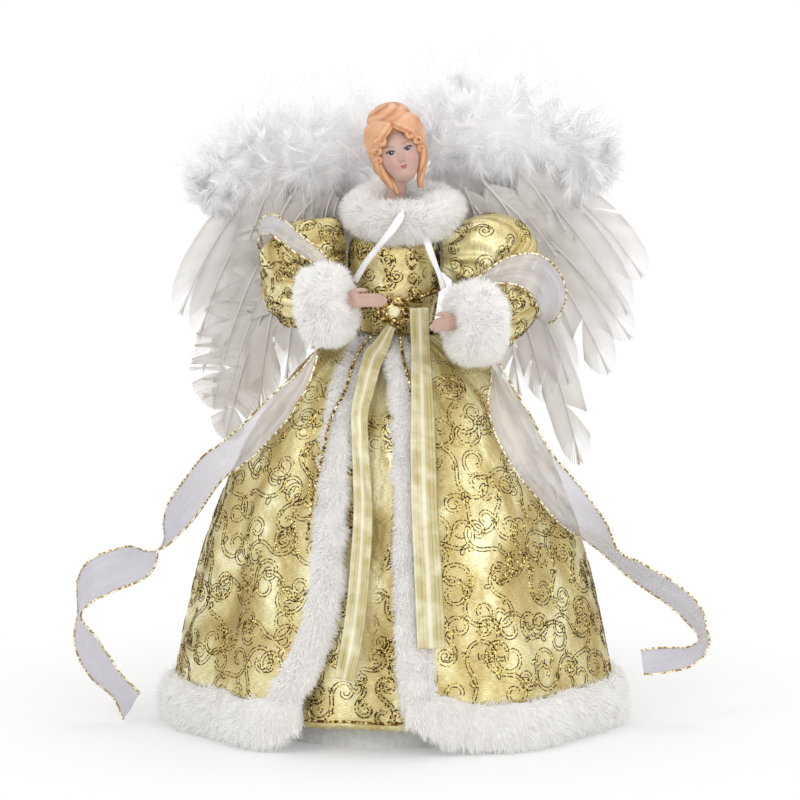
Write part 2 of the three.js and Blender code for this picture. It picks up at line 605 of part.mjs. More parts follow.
// A flat piece that stands in the wing's plane; the shape's x runs outwards from the middle
function standing(shape, side, frontY, thickness) {
  const geometry = new THREE.ExtrudeGeometry(shape, { depth: thickness, bevelEnabled: false })
    .rotateX(Math.PI / 2).translate(0, frontY + thickness, 0);
  const p = geometry.attributes.position;
  const points = range(p.count, (i) => V().fromBufferAttribute(p, i));
  points.forEach((point) => point.setX(side * point.x));
  return closed(points, range(p.count, (i) => i));
}
const flatCurve = (points, steps) =>
  new THREE.SplineCurve(points.map(([x, z]) => new THREE.Vector2(x, z))).getPoints(steps);

function wing(name) {
  const { side, arch, down, feathers } = WINGS[name];
  const pin = (z) => V(side * WING_PIN_X, WING_PIN_Y, z);
  const stem = arch.slice(1).map(([x, z]) => [side * x, WING_PIN_Y, z - 14]);
  const wire = bar(through(pin(290).toArray(), ...stem), WING_PIN_R, 8, 12);
  add(`wing_wire_${name}`, join(wire, rod(pin(255), pin(292), WING_PIN_R)), WIRE);

  // The card follows the arch above and is cut back below
  const [endX, endZ] = arch.at(-1);
  const upper = flatCurve(arch, 12);
  const lower = flatCurve([[endX, endZ - 12], [86, 288], [52, 262], [26, 266]], 8);
  const card = new THREE.Shape([...upper, ...lower]);
  add(`wing_card_${name}`, standing(card, side, CARD_FRONT_Y, CARD_THICK), CARD);

  // Three fans of long feathers, the outermost at the back, each feather lapped over the last one
  const lap = FEATHER_THICK - 0.1, fanAir = 0.5;
  ["outer", "middle", "inner"].forEach((fan, f) => {
    const solids = range(3, (k) => {
      const i = f * 3 + k;
      const frontY = CARD_FRONT_Y - GAP - FEATHER_THICK - i * lap - f * fanAir;
      return standing(featherShape(...feathers[i]), side, frontY, FEATHER_THICK);
    });
    add(`feathers_${fan}_${name}`, join(...solids), FEATHER);
  });

  // The roll of down rides over the arch, with a slot for the card and the feathers' roots
  const path = new THREE.CatmullRomCurve3(down.map(([x, z]) => V(side * x, 38, z)));
  const radius = evenStops(down.map(([, , r]) => r));
  const rows = 12, sides = 12, flatness = 0.82;
  const roll = loft(range(rows + 1, (i) => {
    const t = i / rows;
    const u = V(0, 1, 0).cross(path.getTangent(t)).normalize();
    return range(sides, (j) => {
      const a = (j / sides) * 2 * Math.PI;
      const r = radius(t) * (1 + 0.07 * Math.cos(4 * a + 9 * t));
      return path.getPoint(t).addScaledVector(u, r * Math.cos(a))
        .add(V(0, flatness * r * Math.sin(a), 0));
    });
  }));
  const air = 3, slotFront = 29, slotDeep = 14;
  const slot = new THREE.Shape([
    ...upper.map((p) => new THREE.Vector2(p.x, p.y + air)), new THREE.Vector2(endX + air, endZ + 2),
    new THREE.Vector2(endX + 30, 250), new THREE.Vector2(-20, 250), new THREE.Vector2(-20, 303)]);
  add(`wing_down_${name}`, largest(cut(roll, standing(slot, side, slotFront, slotDeep))), FEATHER);
}

// The bracket on the torso's back, with a barrel for each wing's pin
function wingBracket() {
  const low = 260, high = 284;
  const sides = [-1, 1];
  const barrels = sides.map((side) => {
    const x = side * WING_PIN_X;
    return join(
      rod(V(x, WING_PIN_Y, low), V(x, WING_PIN_Y, high), 3),
      block(x - 1.5, x + 1.5, 33, WING_PIN_Y - 1, low, high));
  });
  const bores = sides.map((side) => rod(
    V(side * WING_PIN_X, WING_PIN_Y, low - 9), V(side * WING_PIN_X, WING_PIN_Y, high + 9),
    WING_PIN_R + GAP));
  const plate = block(-16, 16, 31, 33.4, low - 4, high + 4);
  const pad = block(-9, 9, 27.4, 31.5, low + 2, low + 16);
  add("wing_bracket", cut(join(plate, pad, ...barrels), ...bores), WHITE_PLASTIC);
}

// The battery box inside the cone, on a foam wedge; its door slides up, its switch is underneath
const BOX = { x: 17.5, front: 40, back: 59, low: 14, high: 74, wall: 1.5, door: 1.6 };
const SWITCH = { x: 7, front: 7, deep: 6 }; // the slot's half width, and its place behind the door
function batteryBox() {
  const { x, front, back, low, high, wall, door } = BOX;
  const slotFront = front + SWITCH.front, slotBack = slotFront + SWITCH.deep;
  const tray = cut(
    block(-x, x, front, back, low, high),
    block(-x + wall, x - wall, front - 1, back - wall, low + 4, high - wall),
    block(-SWITCH.x, SWITCH.x, slotFront, slotBack, low - 1, low + 3));
  add("battery_box", tray, BLACK_PLASTIC);
  add("battery_door", block(-x, x, front - GAP - door, front - GAP, low, high), BLACK_PLASTIC);

  // Two AAA-size cells, each with its raised end
  const cellR = 7.1, cellFoot = low + 5.5, cellLength = 49;
  [-1, 1].forEach((side, i) => {
    const at = (z) => V(side * 7.8, front + 9, cellFoot + z);
    add(`battery_${i + 1}`, join(rod(at(0), at(cellLength), cellR, 14),
      rod(at(cellLength - 1), at(cellLength + 1.6), 2.4, 8)), CELL);
  });
  const knob = join(
    block(-SWITCH.x + 3, 0, slotFront + GAP, slotBack - GAP, low - 0.4, low + 2.4),
    block(-3, -1, slotFront + 1, slotBack - 1, low - 2.4, low));
  add("switch_knob", knob, WHITE_PLASTIC);

  const inside = (z) => coneRadius(z) - CONE_WALL - GAP;
  const room = turned([[0, 10], [inside(10), 10], [inside(78), 78], [0, 78]], 40);
  const wedge = toSolid(block(-14, 14, back + GAP, 100, low + 4, high - 2)).intersect(toSolid(room));
  add("foam_wedge", fromSolid(wedge), FOAM);
}

function ledString() {
  const back = -CONE_WALL - 2.4, front = 1.2; // the bulb's ends, from the cone's outer surface
  for (let i = 0; i < LED_COUNT; i++) {
    const place = ledPlace(i);
    const tip = around(place.angle, coneRadius(place.z) + front, place.z);
    const dome = egg(tip.toArray(), [LED_R, LED_R, LED_R], 8, 6);
    add(`led_${i + 1}`, join(ledRod(place, back, front, LED_R), dome), LED);
  }
  const wireR = 0.8;
  const run = (place) =>
    around(place.angle, coneRadius(place.z) + back - wireR - 2 * GAP, place.z).toArray();
  const spots = range(LED_COUNT * 3 - 2, (i) => run(ledPlace(i / 3)));
  const route = through([6, 50, BOX.high + GAP], [6, 50, BOX.high + 6], [2, 53, BOX.high + 12], ...spots);
  add("led_wire", bar(route, wireR, 8, 44), WHITE_PLASTIC);
}

skirtCone();
underskirt();
coatSkirt();
furBand("left");
furBand("right");
furHem();
torso();
bodice();
head();
furCollar();
brooch();
wingBracket();
batteryBox();
ledString();
for (const name of ["left", "right"]) {
  arm(name);
  wing(name);
  shawlTrail(name);
  satinTail(name);
  beadString(name);
  collarTie(name);
}

export default figure;
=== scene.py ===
# A light-up Christmas angel: a bisque doll bust on a white cone, in a gold brocade coat with plush
# trims, goose-feather wings and a wired organza shawl. Shapes are worked out in millimetres and
# MM turns them into metres. The front faces -Y; left and right are as seen from the front.
import math

import bpy
import numpy as np
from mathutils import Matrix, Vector


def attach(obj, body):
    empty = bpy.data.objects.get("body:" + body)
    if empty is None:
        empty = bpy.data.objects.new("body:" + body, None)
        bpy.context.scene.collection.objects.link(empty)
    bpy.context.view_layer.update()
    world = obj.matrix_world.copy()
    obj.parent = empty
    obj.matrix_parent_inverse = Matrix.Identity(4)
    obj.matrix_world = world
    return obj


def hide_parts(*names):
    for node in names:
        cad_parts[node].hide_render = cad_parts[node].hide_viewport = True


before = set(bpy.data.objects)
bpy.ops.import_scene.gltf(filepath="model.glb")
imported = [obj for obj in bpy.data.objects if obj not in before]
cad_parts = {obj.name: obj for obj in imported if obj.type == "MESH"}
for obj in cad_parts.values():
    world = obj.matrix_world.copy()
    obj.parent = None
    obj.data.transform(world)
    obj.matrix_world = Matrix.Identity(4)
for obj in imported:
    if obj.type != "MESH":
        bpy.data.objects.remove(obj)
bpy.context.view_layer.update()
MM = 0.001
bpy.ops.object.select_all(action="DESELECT")

# The camera: a long lens far off, ten degrees above the level, so the figure stands nearly
# without perspective, as in a catalogue picture.
PIXEL = 0.6 * MM  # width of one of the picture's 800 pixels, in the figure's own plane
PICTURE = 800
SENSOR = 36
camera_distance = 6.0
camera_height = math.radians(10)
camera_target = Vector((3.6 * MM, 0, 193.7 * MM))
camera_data = bpy.data.cameras.new("camera")
camera_data.sensor_width = SENSOR
camera_data.lens = SENSOR * camera_distance / (PICTURE * PIXEL)
camera = bpy.data.objects.new("camera", camera_data)
towards_camera = Vector((0, -math.cos(camera_height), math.sin(camera_height)))
camera.location = camera_target + camera_distance * towards_camera
camera.rotation_euler = towards_camera.to_track_quat("Z", "Y").to_euler()
bpy.context.scene.collection.objects.link(camera)
bpy.context.scene.camera = camera
bpy.context.scene.view_settings.view_transform = "Standard"


class Socket:
    """An output of a node in a material, with arithmetic that adds Math nodes."""

    def __init__(self, tree, socket=None):
        self.tree = tree
        self.socket = socket

    def node(self, kind, settings=(), inputs=(), output=0):
        """Adds a node: its settings first, then the values or links of its sockets."""
        node = self.tree.nodes.new("ShaderNode" + kind)
        for name, value in dict(settings).items():
            if name == "stops":
                ramp = node.color_ramp.elements
                while len(ramp) < len(value):
                    ramp.new(0.5)
                for element, (place, colour) in zip(ramp, value):
                    element.position = place
                    element.color = colour
            else:
                setattr(node, name, value)
        for name, value in dict(inputs).items():
            if isinstance(value, Socket):
                self.tree.links.new(value.socket, node.inputs[name])
            else:
                node.inputs[name].default_value = value
        return Socket(self.tree, node.outputs[output])

    def noise(self, scale, detail, **more):
        """Noise over these coordinates."""
        return self.node("TexNoise", {}, {"Vector": self, "Scale": scale, "Detail": detail, **more})

    def stretched(self, *scale):
        """These coordinates with another scale along each axis."""
        return self.node("Mapping", {}, {"Vector": self, "Scale": scale})

    def part(self, axis):
        return self.node("SeparateXYZ", {}, {0: self}, axis)

    def attribute(self, name):
        """A value that the mesh keeps for each of its points."""
        return self.node("Attribute", {"attribute_name": name}, output="Fac")

    def ramp(self, *stops):
        """The colours at the given stops of this value."""
        return self.node("ValToRGB", {"stops": stops}, {0: self})

    def ranged(self, low, high, to_low=0.0, to_high=1.0, kind="LINEAR"):
        """This value from low to high, spread over another range and held inside it."""
        return self.node("MapRange", {"interpolation_type": kind}, {
            "Value": self, "From Min": low, "From Max": high, "To Min": to_low, "To Max": to_high})

    def bump(self, strength, distance):
        """The normal of a surface with this relief on it."""
        return self.node("Bump", {}, {"Height": self, "Strength": strength, "Distance": distance})

    def math(self, operation, *values):
        return self.node("Math", {"operation": operation}, dict(enumerate((self, *values))))

    def __add__(self, other):
        return self.math("ADD", other)

    __radd__ = __add__

    def __mul__(self, other):
        return self.math("MULTIPLY", other)

    __rmul__ = __mul__

    def __sub__(self, other):
        return self.math("SUBTRACT", other)

    def __rsub__(self, other):
        return self * -1 + other


def mixed(share, first, second):
    """A colour that goes from the first to the second as share goes from 0 to 1."""
    return share.node(
        "Mix", {"data_type": "RGBA", "clamp_factor": True}, {0: share, 6: first, 7: second}, 2)


# The studio: a white floor under a white sky, with a broad soft lamp on each side, one in front
# and one overhead. The camera, polished and clear things see the sky as plain white.
sky = bpy.data.worlds.new("studio")
sky.use_nodes = True
bpy.context.scene.world = sky
seen_rays = Socket(sky.node_tree).node("LightPath", output="Is Camera Ray")
for ray in ("Is Glossy Ray", "Is Transmission Ray"):
    seen_rays = seen_rays.math("MAXIMUM", seen_rays.node("LightPath", output=ray))
sky_strength = 0.6
background = sky.node_tree.nodes["Background"]
background.inputs["Color"].default_value = (1, 1, 1, 1)
sky.node_tree.links.new(
    (seen_rays * (1 - sky_strength) + sky_strength).socket, background.inputs["Strength"])

for lamp_name, lamp_place, lamp_size, lamp_power in (
    ("key", (-1.1, -1.5, 1.5), 0.9, 12),
    ("fill", (1.5, -1.2, 0.9), 1.2, 9),
    ("front", (0.1, -2.4, 0.5), 1.6, 13),
    ("top", (0.2, 0.5, 1.9), 1.0, 8),
):
    lamp_data = bpy.data.lights.new(lamp_name, "AREA")
    lamp_data.size = lamp_size
    lamp_data.energy = lamp_power
    lamp = bpy.data.objects.new(lamp_name, lamp_data)
    lamp.location = lamp_place
    lamp.rotation_euler = (lamp.location - camera_target).to_track_quat("Z", "Y").to_euler()
    bpy.context.scene.collection.objects.link(lamp)

# The floor's own shading, with the figure's shadow, fades into plain white away from the figure
bpy.ops.mesh.primitive_plane_add(size=40)
floor = bpy.context.object
floor.name = "studio_floor"
floor_paint = bpy.data.materials.new("floor")
floor_paint.use_nodes = True
floor_shader = floor_paint.node_tree.nodes["Principled BSDF"]
floor_shader.inputs["Base Color"].default_value = (0.93, 0.93, 0.93, 1)
floor_shader.inputs["Roughness"].default_value = 0.9
floor_place = Socket(floor_paint.node_tree).node("TexCoord", output="Object")
from_middle = floor_place.node("VectorMath", {"operation": "LENGTH"}, {0: floor_place}, "Value")
fade = from_middle.ranged(0.1, 0.34, 0.25, 1.0, "SMOOTHSTEP")
seen = fade.node("LightPath", output="Is Camera Ray")
glow = fade.node("Emission", {}, {"Color": (1, 1, 1, 1), "Strength": 1.0})
floor_mix = fade.node("MixShader", {}, {
    0: fade * seen, 1: Socket(floor_paint.node_tree, floor_shader.outputs[0]), 2: glow})
floor_paint.node_tree.links.new(
    floor_mix.socket, floor_paint.node_tree.nodes["Material Output"].inputs["Surface"])
floor.data.materials.append(floor_paint)


# The coat skirt: a bell of gold lame brocade, gathered at the waist and open at the front. The
# cloth is a yellow-gold satin with fine crosswise creases; S-scrolls and leaves in metallic
# thread are embroidered all over it. Its edges are sewn under the plush bands.
def tint(red, green, blue):
    """A colour given as a screen shows it, 0 to 255, turned into the shader's linear numbers."""
    def linear(value):
        share = value / 255
        return share / 12.92 if share <= 0.04045 else ((share + 0.055) / 1.055) ** 2.4
    return linear(red), linear(green), linear(blue), 1


def finish(name, **fixed):
    """A new material, its shader with the constants set, and Object coordinates."""
    material = bpy.data.materials.new(name)
    material.use_nodes = True
    shader = material.node_tree.nodes["Principled BSDF"]
    for socket, value in fixed.items():
        shader.inputs[socket.replace("_", " ")].default_value = value
    start = Socket(material.node_tree)
    return material, shader, start.node("TexCoord", output="Object")


def dress(shader, **links):
    """Links what changes over the surface to the shader's sockets."""
    for socket, value in links.items():
        value.tree.links.new(value.socket, shader.inputs[socket.replace("_", " ")])


def circle(count):
    """Angles evenly round a full turn."""
    return np.linspace(0, 2 * math.pi, count, endpoint=False)


def unit(vectors):
    """The vectors made one long."""
    return vectors / np.maximum(np.linalg.norm(vectors, axis=-1, keepdims=True), 1e-9)


def lengths_to(way):
    """The length along a row of points up to each of them."""
    return np.concatenate([[0], np.cumsum(np.linalg.norm(np.diff(way, axis=0), axis=-1))])


def spline(points, share):
    """Points on a smooth curve through the given ones, at shares from 0 to 1 of its spans."""
    points = np.asarray(points, float)
    last = len(points) - 1
    place = np.clip(np.asarray(share, float), 0, 1) * last
    i = np.minimum(place.astype(int), last - 1)
    t = (place - i)[..., None]
    padded = np.vstack([2 * points[0] - points[1], points, 2 * points[-1] - points[-2]])
    a, b, c, d = (padded[i + k] for k in range(4))
    return 0.5 * (2 * b + (c - a) * t + (2 * a - 5 * b + 4 * c - d) * t**2
                  + (3 * b - a - 3 * c + d) * t**3)


def stops(places, x):
    """A smooth value through [where, value] stops."""
    curve = spline(places, np.linspace(0, 1, 200))
    return np.interp(x, curve[:, 0], curve[:, 1])


def bezier(corners, share):
    """Points of a cubic Bezier curve."""
    share = np.asarray(share, float)[..., None]
    a, b, c, d = np.asarray(corners, float)
    rest = 1 - share
    return rest**3 * a + 3 * rest**2 * share * b + 3 * rest * share**2 * c + share**3 * d


def waves(seed, finest):
    """A smooth random height from about -1 to 1 over points of any number of coordinates."""
    count = 14

    def height(*coordinates):
        rng = np.random.default_rng(seed)
        total = 0
        for _ in range(count):
            push = rng.normal(size=len(coordinates))
            push *= 2 * math.pi / (finest * rng.uniform(1, 3) * np.linalg.norm(push))
            phase = rng.uniform(0, 2 * math.pi)
            total = total + np.sin(sum(k * c for k, c in zip(push, coordinates)) + phase)
        return total / math.sqrt(count)
    return height


def joined(parts):
    """Joins parts into one: their points, their faces and any values at their points."""
    columns = list(zip(*parts))
    faces, first = {4: [], 3: []}, 0
    for points, of_part in zip(columns[0], columns[1]):
        for f in of_part:
            faces[f.shape[1]].append(f + first)
        first += len(points)
    faces = [np.concatenate(f) for f in faces.values() if f]
    return np.concatenate(columns[0]), faces, *map(np.concatenate, columns[2:])


def mesh_piece(name, points, faces, material, body, slot, uv=None, values=None):
    """A mesh from points in millimetres and from arrays of faces of three or four corners."""
    mesh = bpy.data.meshes.new(name)
    mesh.vertices.add(len(points))
    mesh.vertices.foreach_set("co", (np.asarray(points) * MM).astype(np.float32).ravel())
    faces = [np.asarray(f, np.int32) for f in faces if len(f)]
    corners = np.concatenate([f.ravel() for f in faces])
    counts = np.concatenate([np.full(len(f), f.shape[1]) for f in faces])
    mesh.loops.add(len(corners))
    mesh.loops.foreach_set("vertex_index", corners)
    mesh.polygons.add(len(counts))
    mesh.polygons.foreach_set("loop_start", np.concatenate([[0], np.cumsum(counts)[:-1]]))
    mesh.update(calc_edges=True)
    mesh.validate()
    mesh.polygons.foreach_set("use_smooth", np.full(len(mesh.polygons), True))
    if uv is not None:
        layer = mesh.uv_layers.new(name="UVMap")
        layer.data.foreach_set("uv", np.asarray(uv, np.float32)[corners].ravel())
    for label, value in (values or {}).items():
        attribute = mesh.attributes.new(label, "FLOAT", "POINT")
        attribute.data.foreach_set("value", np.asarray(value, np.float32))
    piece = bpy.data.objects.new(name, mesh)
    bpy.context.scene.collection.objects.link(piece)
    mesh.materials.append(material)
    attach(piece, body)
    return piece


def grid_faces(rows, columns, wraps):
    """The four-cornered faces of a grid of points, kept row by row."""
    i, j = np.meshgrid(np.arange(rows if wraps else rows - 1), np.arange(columns - 1), indexing="ij")
    a, b = i * columns + j, (i + 1) % rows * columns + j
    return np.stack([a, b, b + 1, a + 1], -1).reshape(-1, 4)


def grid_normals(grid, wraps=False):
    """The unit normals of a grid of points."""
    if wraps:
        along = np.roll(grid, -1, 0) - np.roll(grid, 1, 0)
    else:
        along = np.gradient(grid, axis=0)
    return unit(np.cross(along, np.gradient(grid, axis=1)))


def grid_area(grid):
    """The area of a grid of points in square metres."""
    along, across = np.diff(grid, axis=0)[:, :-1], np.diff(grid, axis=1)[:-1]
    return float(np.linalg.norm(np.cross(along, across), axis=-1).sum()) * MM * MM


def cloth(name, grid, material, body, slot, thick=0.7, wraps=False, uv=None):
    """A closed sheet of cloth about a grid of points, and its flat area."""
    rows, columns = grid.shape[:2]
    under = rows * columns
    offset = grid_normals(grid, wraps) * thick / 2
    points = np.concatenate([(grid + offset).reshape(-1, 3), (grid - offset).reshape(-1, 3)])
    upper = grid_faces(rows, columns, wraps)
    faces = [upper, upper[:, ::-1] + under]
    i, j = np.arange(rows if wraps else rows - 1), np.arange(columns - 1)
    near, far, end = i * columns, (i + 1) % rows * columns, columns - 1
    rims = [(near, far, 1), (near + end, far + end, -1)]
    if not wraps:
        last = (rows - 1) * columns + j
        rims += [(j, j + 1, -1), (last, last + 1, 1)]
    for a, b, flip in rims:
        faces.append(np.stack([a, a + under, b + under, b], -1)[:, ::flip])
    if uv is None:
        along, down = lengths_to(grid[:, columns // 2]), lengths_to(grid[rows // 2])
        uv = np.stack(np.broadcast_arrays(along[:, None], down), -1) / 100
    uv = np.tile(uv.reshape(-1, 2), (2, 1))
    piece = mesh_piece(name, points, faces, material, body, slot, uv=uv)
    return piece, grid_area(np.concatenate([grid, grid[:1]]) if wraps else grid)


# Gold lame: fine creases across, in its relief and its colour. The pale and tan patches in the colour
# are painted highlight and painted shade standing in for the light on the folds; the creases' lighter
# and darker lines are partly the weave and partly painted shade
def brocade_finish():
    brocade, shader, place = finish("gold_brocade", Metallic=0.38)
    uv = place.node("UVMap")
    crinkle = uv.stretched(40, 400, 1).noise(1, 3)
    highlight_and_shade_patches = uv.stretched(4.6, 2.3, 1).noise(1, 3, Distortion=0.6)
    # The colour: painted highlight at the palest stop and painted shade at the tan and darker stops, in
    # patches and along the creases
    tone = (highlight_and_shade_patches * 0.6 + crinkle * 0.4).ramp(
        (0.32, tint(150, 126, 62)), (0.43, tint(182, 160, 98)), (0.52, tint(210, 196, 138)),
        (0.62, tint(250, 246, 204)))
    relief = crinkle * 0.22 + uv.noise(7, 2, Distortion=1.5) * 2.2
    dress(shader, Base_Color=tone, Roughness=crinkle * 0.16 + 0.26, Normal=relief.bump(0.6, 0.0011))
    return brocade


# Metallic thread: bronze-gold, with light and dark points along it that are painted glints and painted
# shade
def thread_finish():
    thread, shader, place = finish("gold_thread", Metallic=0.9, Roughness=0.3)
    # Painted glints at the palest stop and painted shade at the near-black stop, on the thread's own
    # bronze
    dress(shader, Base_Color=place.noise(950, 1).ramp(
        (0.43, tint(36, 26, 6)), (0.53, tint(110, 86, 30)), (0.61, tint(240, 218, 138))))
    return thread


brocade = brocade_finish()
gold_thread = thread_finish()

COAT_PROFILE = [(25.5, 235), (88, 208), (115, 112), (133, 8)]
COAT_END = 0.93  # share of the profile where the cloth ends inside the hem's plush
COAT_DEPTH = 0.94  # front to back, against side to side
CLOTH_EDGE, THREAD_EDGE = 0.8, 0.9  # where each ends under a band, in half widths of the band
BAND_ANGLE = {
    "left": [[0, -33], [0.25, -28], [0.5, -22], [0.75, -21.5], [0.93, -30], [1, -33]],
    "right": [[0, 2], [0.25, 5.2], [0.5, 5.7], [0.75, 5.2], [0.93, 6.7], [1, 7]],
}
BAND_HALF_WIDTH = [[0, 7.6], [0.25, 9], [0.5, 10], [0.75, 11], [0.93, 13], [1, 13.5]]


def flute(angle):
    return 3.2 * np.cos(9 * angle + 0.7 * np.sin(2 * angle))


def bell_point(profile, share, angle, above):
    """A point of a skirt: share down its profile, angle from the front towards +X."""
    p = bezier(profile, share)
    r = p[..., 0] + above
    return np.stack([r * np.sin(angle), -r * np.cos(angle) * COAT_DEPTH, p[..., 1]], -1)


def coat_point(share, angle, above=0.0):
    share, angle = np.broadcast_arrays(share, angle)
    return bell_point(COAT_PROFILE, share, angle, flute(angle) * share**2 + above)


def band_edge(share, side, across):
    half = stops(BAND_HALF_WIDTH, share)
    middle = np.radians(stops(BAND_ANGLE[side], share))
    return middle + across * half / bezier(COAT_PROFILE, share)[..., 0]


crush = waves(4, 0.16)


def coat_surface(angle, share, above=0.0):
    """The coat's cloth with its gathers at the waist and the shallow folds between the flutes."""
    gathers = 1.3 * np.exp(-share / 0.13) * np.cos(44 * angle + 3 * np.sin(5 * angle))
    folds = 1.8 * np.sin(math.pi * share) * np.cos(7 * angle + 4 * share + 1.2 * np.sin(3 * angle))
    creases = 0.9 * np.sin(math.pi * share) * np.cos(
        19 * angle - 5 * share + 1.6 * np.sin(4 * angle))
    dents = 0.35 * crush(angle * 1.2, share)
    return coat_point(share, angle, gathers + folds + creases + dents + above)


share = np.linspace(0, COAT_END, 110)
from_angle = band_edge(share, "right", CLOTH_EDGE)
to_angle = 2 * math.pi + band_edge(share, "left", -CLOTH_EDGE)
across = np.linspace(0, 1, 320)[:, None]
angle = from_angle + (to_angle - from_angle) * across
coat, coat_area = cloth("coat_cloth", coat_surface(angle, share[None]), brocade, "figure",
                        "gold_brocade")
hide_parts("coat_skirt")


def scroll(rng, size, points):
    """One S-scroll: it unwinds from a wide curl, swings over and winds up again, smaller."""
    t = np.linspace(0, 1, points)
    turn_over = rng.uniform(0.5, 0.58)
    small = size * rng.uniform(0.5, 0.7)
    first = 1 / (size * (0.3 + 0.9 * (t / turn_over) ** 1.3))
    second = -1 / (small * (0.36 + 1.2 * (1 - t) / (1 - turn_over)))
    swing = 1 / (1 + np.exp((t - turn_over) / 0.02))
    step = 8.4 * size / points
    heading = np.cumsum((first * swing + second * (1 - swing)) * step)
    line = np.cumsum(np.stack([np.cos(heading), np.sin(heading)], -1) * step, 0)
    return line - line.mean(0), heading


def leaf(tip, heading, size, points):
    """A small leaf: a closed loop that stands out from the scroll at an angle."""
    a = np.linspace(0, 2 * math.pi, points)
    along, wide = size * (1 - np.cos(a)) / 2, 0.27 * size * np.sin(a)
    turn = np.array([[math.cos(heading), math.sin(heading)], [-math.sin(heading), math.cos(heading)]])
    return tip + np.stack([along, wide], -1) @ turn


def embroidery(name, surface, centres, body, inside, size=11.6, width=0.92, seed=5, lift=0.3):
    """Raised lines of thread on a surface of (a, b, above), about the given centres (a, b)."""
    rng = np.random.default_rng(seed)
    curl_points, leaf_points = 64, 12
    lines, owners = {curl_points: [], leaf_points: []}, {curl_points: [], leaf_points: []}
    for owner in range(len(centres)):
        line, heading = scroll(rng, size * rng.uniform(0.8, 1.15), curl_points)
        turn = rng.uniform(0, 2 * math.pi)
        spin = np.array([[math.cos(turn), math.sin(turn)], [-math.sin(turn), math.cos(turn)]])
        flip = np.array([1, rng.choice([-1, 1])])
        lines[curl_points].append((line @ spin) * flip)
        owners[curl_points].append(owner)
        for k in (0.45, 0.62):
            at = int(k * curl_points)
            bud = leaf(line[at], heading[at] + rng.choice([-1, 1]) * rng.uniform(0.7, 1.3),
                       size * rng.uniform(0.3, 0.5), leaf_points)
            lines[leaf_points].append((bud @ spin) * flip)
            owners[leaf_points].append(owner)
    rail = 1.05  # a scroll is two lines of thread, this far to either side of its middle
    crown = 0.5  # the height of the thread's middle above its edges
    step = 0.02
    parts = []
    for count, aside in ((curl_points, -rail), (curl_points, rail), (leaf_points, 0)):
        flat, centre = np.array(lines[count]), centres[owners[count]]
        origin = surface(*centre.T)
        scale = np.stack([
            np.linalg.norm(surface(centre[:, 0] + step, centre[:, 1]) - origin, axis=-1),
            np.linalg.norm(surface(centre[:, 0], centre[:, 1] + step) - origin, axis=-1)], -1) / step
        run = np.gradient(flat, axis=1)
        side = unit(np.stack([-run[..., 1], run[..., 0]], -1))
        strips = []
        for offset, above in ((-0.5, lift), (0, lift + crown), (0.5, lift)):
            place = centre[:, None] + (flat + side * (offset * width + aside)) / scale[:, None]
            strips.append((surface(place[..., 0], place[..., 1], above), place))
        m, n = flat.shape[:2]
        kept = inside(*np.moveaxis(strips[1][1], -1, 0))
        line_index, i = np.meshgrid(np.arange(m), np.arange(n - 1), indexing="ij")
        use = kept[:, :-1] & kept[:, 1:]
        base = (line_index[use] * n + i[use]) * 3
        parts.append((np.stack([p for p, _ in strips], 2).reshape(-1, 3), [
            np.stack([base + k, base + k + 1, base + k + 4, base + k + 3], -1) for k in (0, 1)]))
    points, (faces,) = joined(parts)
    used, renumbered = np.unique(faces, return_inverse=True)
    return mesh_piece(name, points[used], [renumbered.reshape(-1, 4)], gold_thread, body, "gold_trim")


def scattered(rng, low, high, rows, columns):
    """Centres on a staggered, slightly shaken grid; columns gives the count in each row."""
    shake = 0.11  # of the distance between two centres
    centres = []
    (low_a, low_b), (wide, tall) = low, np.subtract(high, low)
    for row in range(rows):
        b = low_b + tall * (row + 0.5) / rows
        count = columns(b)
        for k in range(count):
            a = low_a + wide * (k + 0.5 + 0.5 * (row % 2)) / count
            centres.append((a + rng.normal(0, shake) * wide / count,
                            b + rng.normal(0, shake) * tall / rows))
    return np.array(centres)


def on_coat(angle, share):
    turned = np.mod(angle, 2 * math.pi)
    share = np.clip(share, 0, 1)
    return ((turned > band_edge(share, "right", THREAD_EDGE)) & (share > 0.02) & (share < COAT_END)
            & (turned < 2 * math.pi + band_edge(share, "left", -THREAD_EDGE)))


SCROLL_ROWS, SCROLL_APART = 10, 23
centres = scattered(
    np.random.default_rng(11), (0, 0.05), (2 * math.pi, COAT_END), SCROLL_ROWS,
    lambda b: int(2 * math.pi * bezier(COAT_PROFILE, b)[0] / SCROLL_APART))
coat_threads = embroidery("coat_embroidery", coat_surface, centres, "figure", inside=on_coat)


# The underskirt: the same brocade, sewn as a fuller skirt under the coat. Only the panel between
# the coat's fronts is seen; a line of gold cord edges its hem.
UNDERSKIRT_PROFILE = [(33.6, 219), (80, 196), (104, 110), (116, 14)]
pucker = waves(8, 0.3)


def underskirt_surface(angle, share, above=0.0):
    share, angle = np.broadcast_arrays(share, angle)
    ripple = (0.3 + 1.4 * share) * np.cos(14 * angle)
    folds = 0.7 * np.cos(31 * angle + 2 * np.sin(3 * angle)) * (1 - 0.5 * share)
    return bell_point(UNDERSKIRT_PROFILE, share, angle,
                      ripple + folds + 0.7 * pucker(angle * 1.5, share) + above)


share = np.linspace(0, 1, 70)
angle = math.pi + circle(260)[:, None]
underskirt, underskirt_area = cloth(
    "underskirt_cloth", underskirt_surface(angle, share[None]), brocade, "figure", "gold_brocade",
    wraps=True)
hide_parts("underskirt")
SMALL_SCROLL_ROWS, SMALL_SCROLL_APART = 14, 15.5
PANEL_WIDE = 1.43  # the front panel, in radians
centres = scattered(
    np.random.default_rng(12), (math.radians(-52), 0.04), (math.radians(30), 0.97),
    SMALL_SCROLL_ROWS,
    lambda b: int(PANEL_WIDE * bezier(UNDERSKIRT_PROFILE, b)[0] / SMALL_SCROLL_APART))
underskirt_threads = embroidery(
    "underskirt_embroidery", underskirt_surface, centres, "figure", size=7.8,
    inside=lambda a, b: (b < 0.985) & (b > 0.02), seed=6)


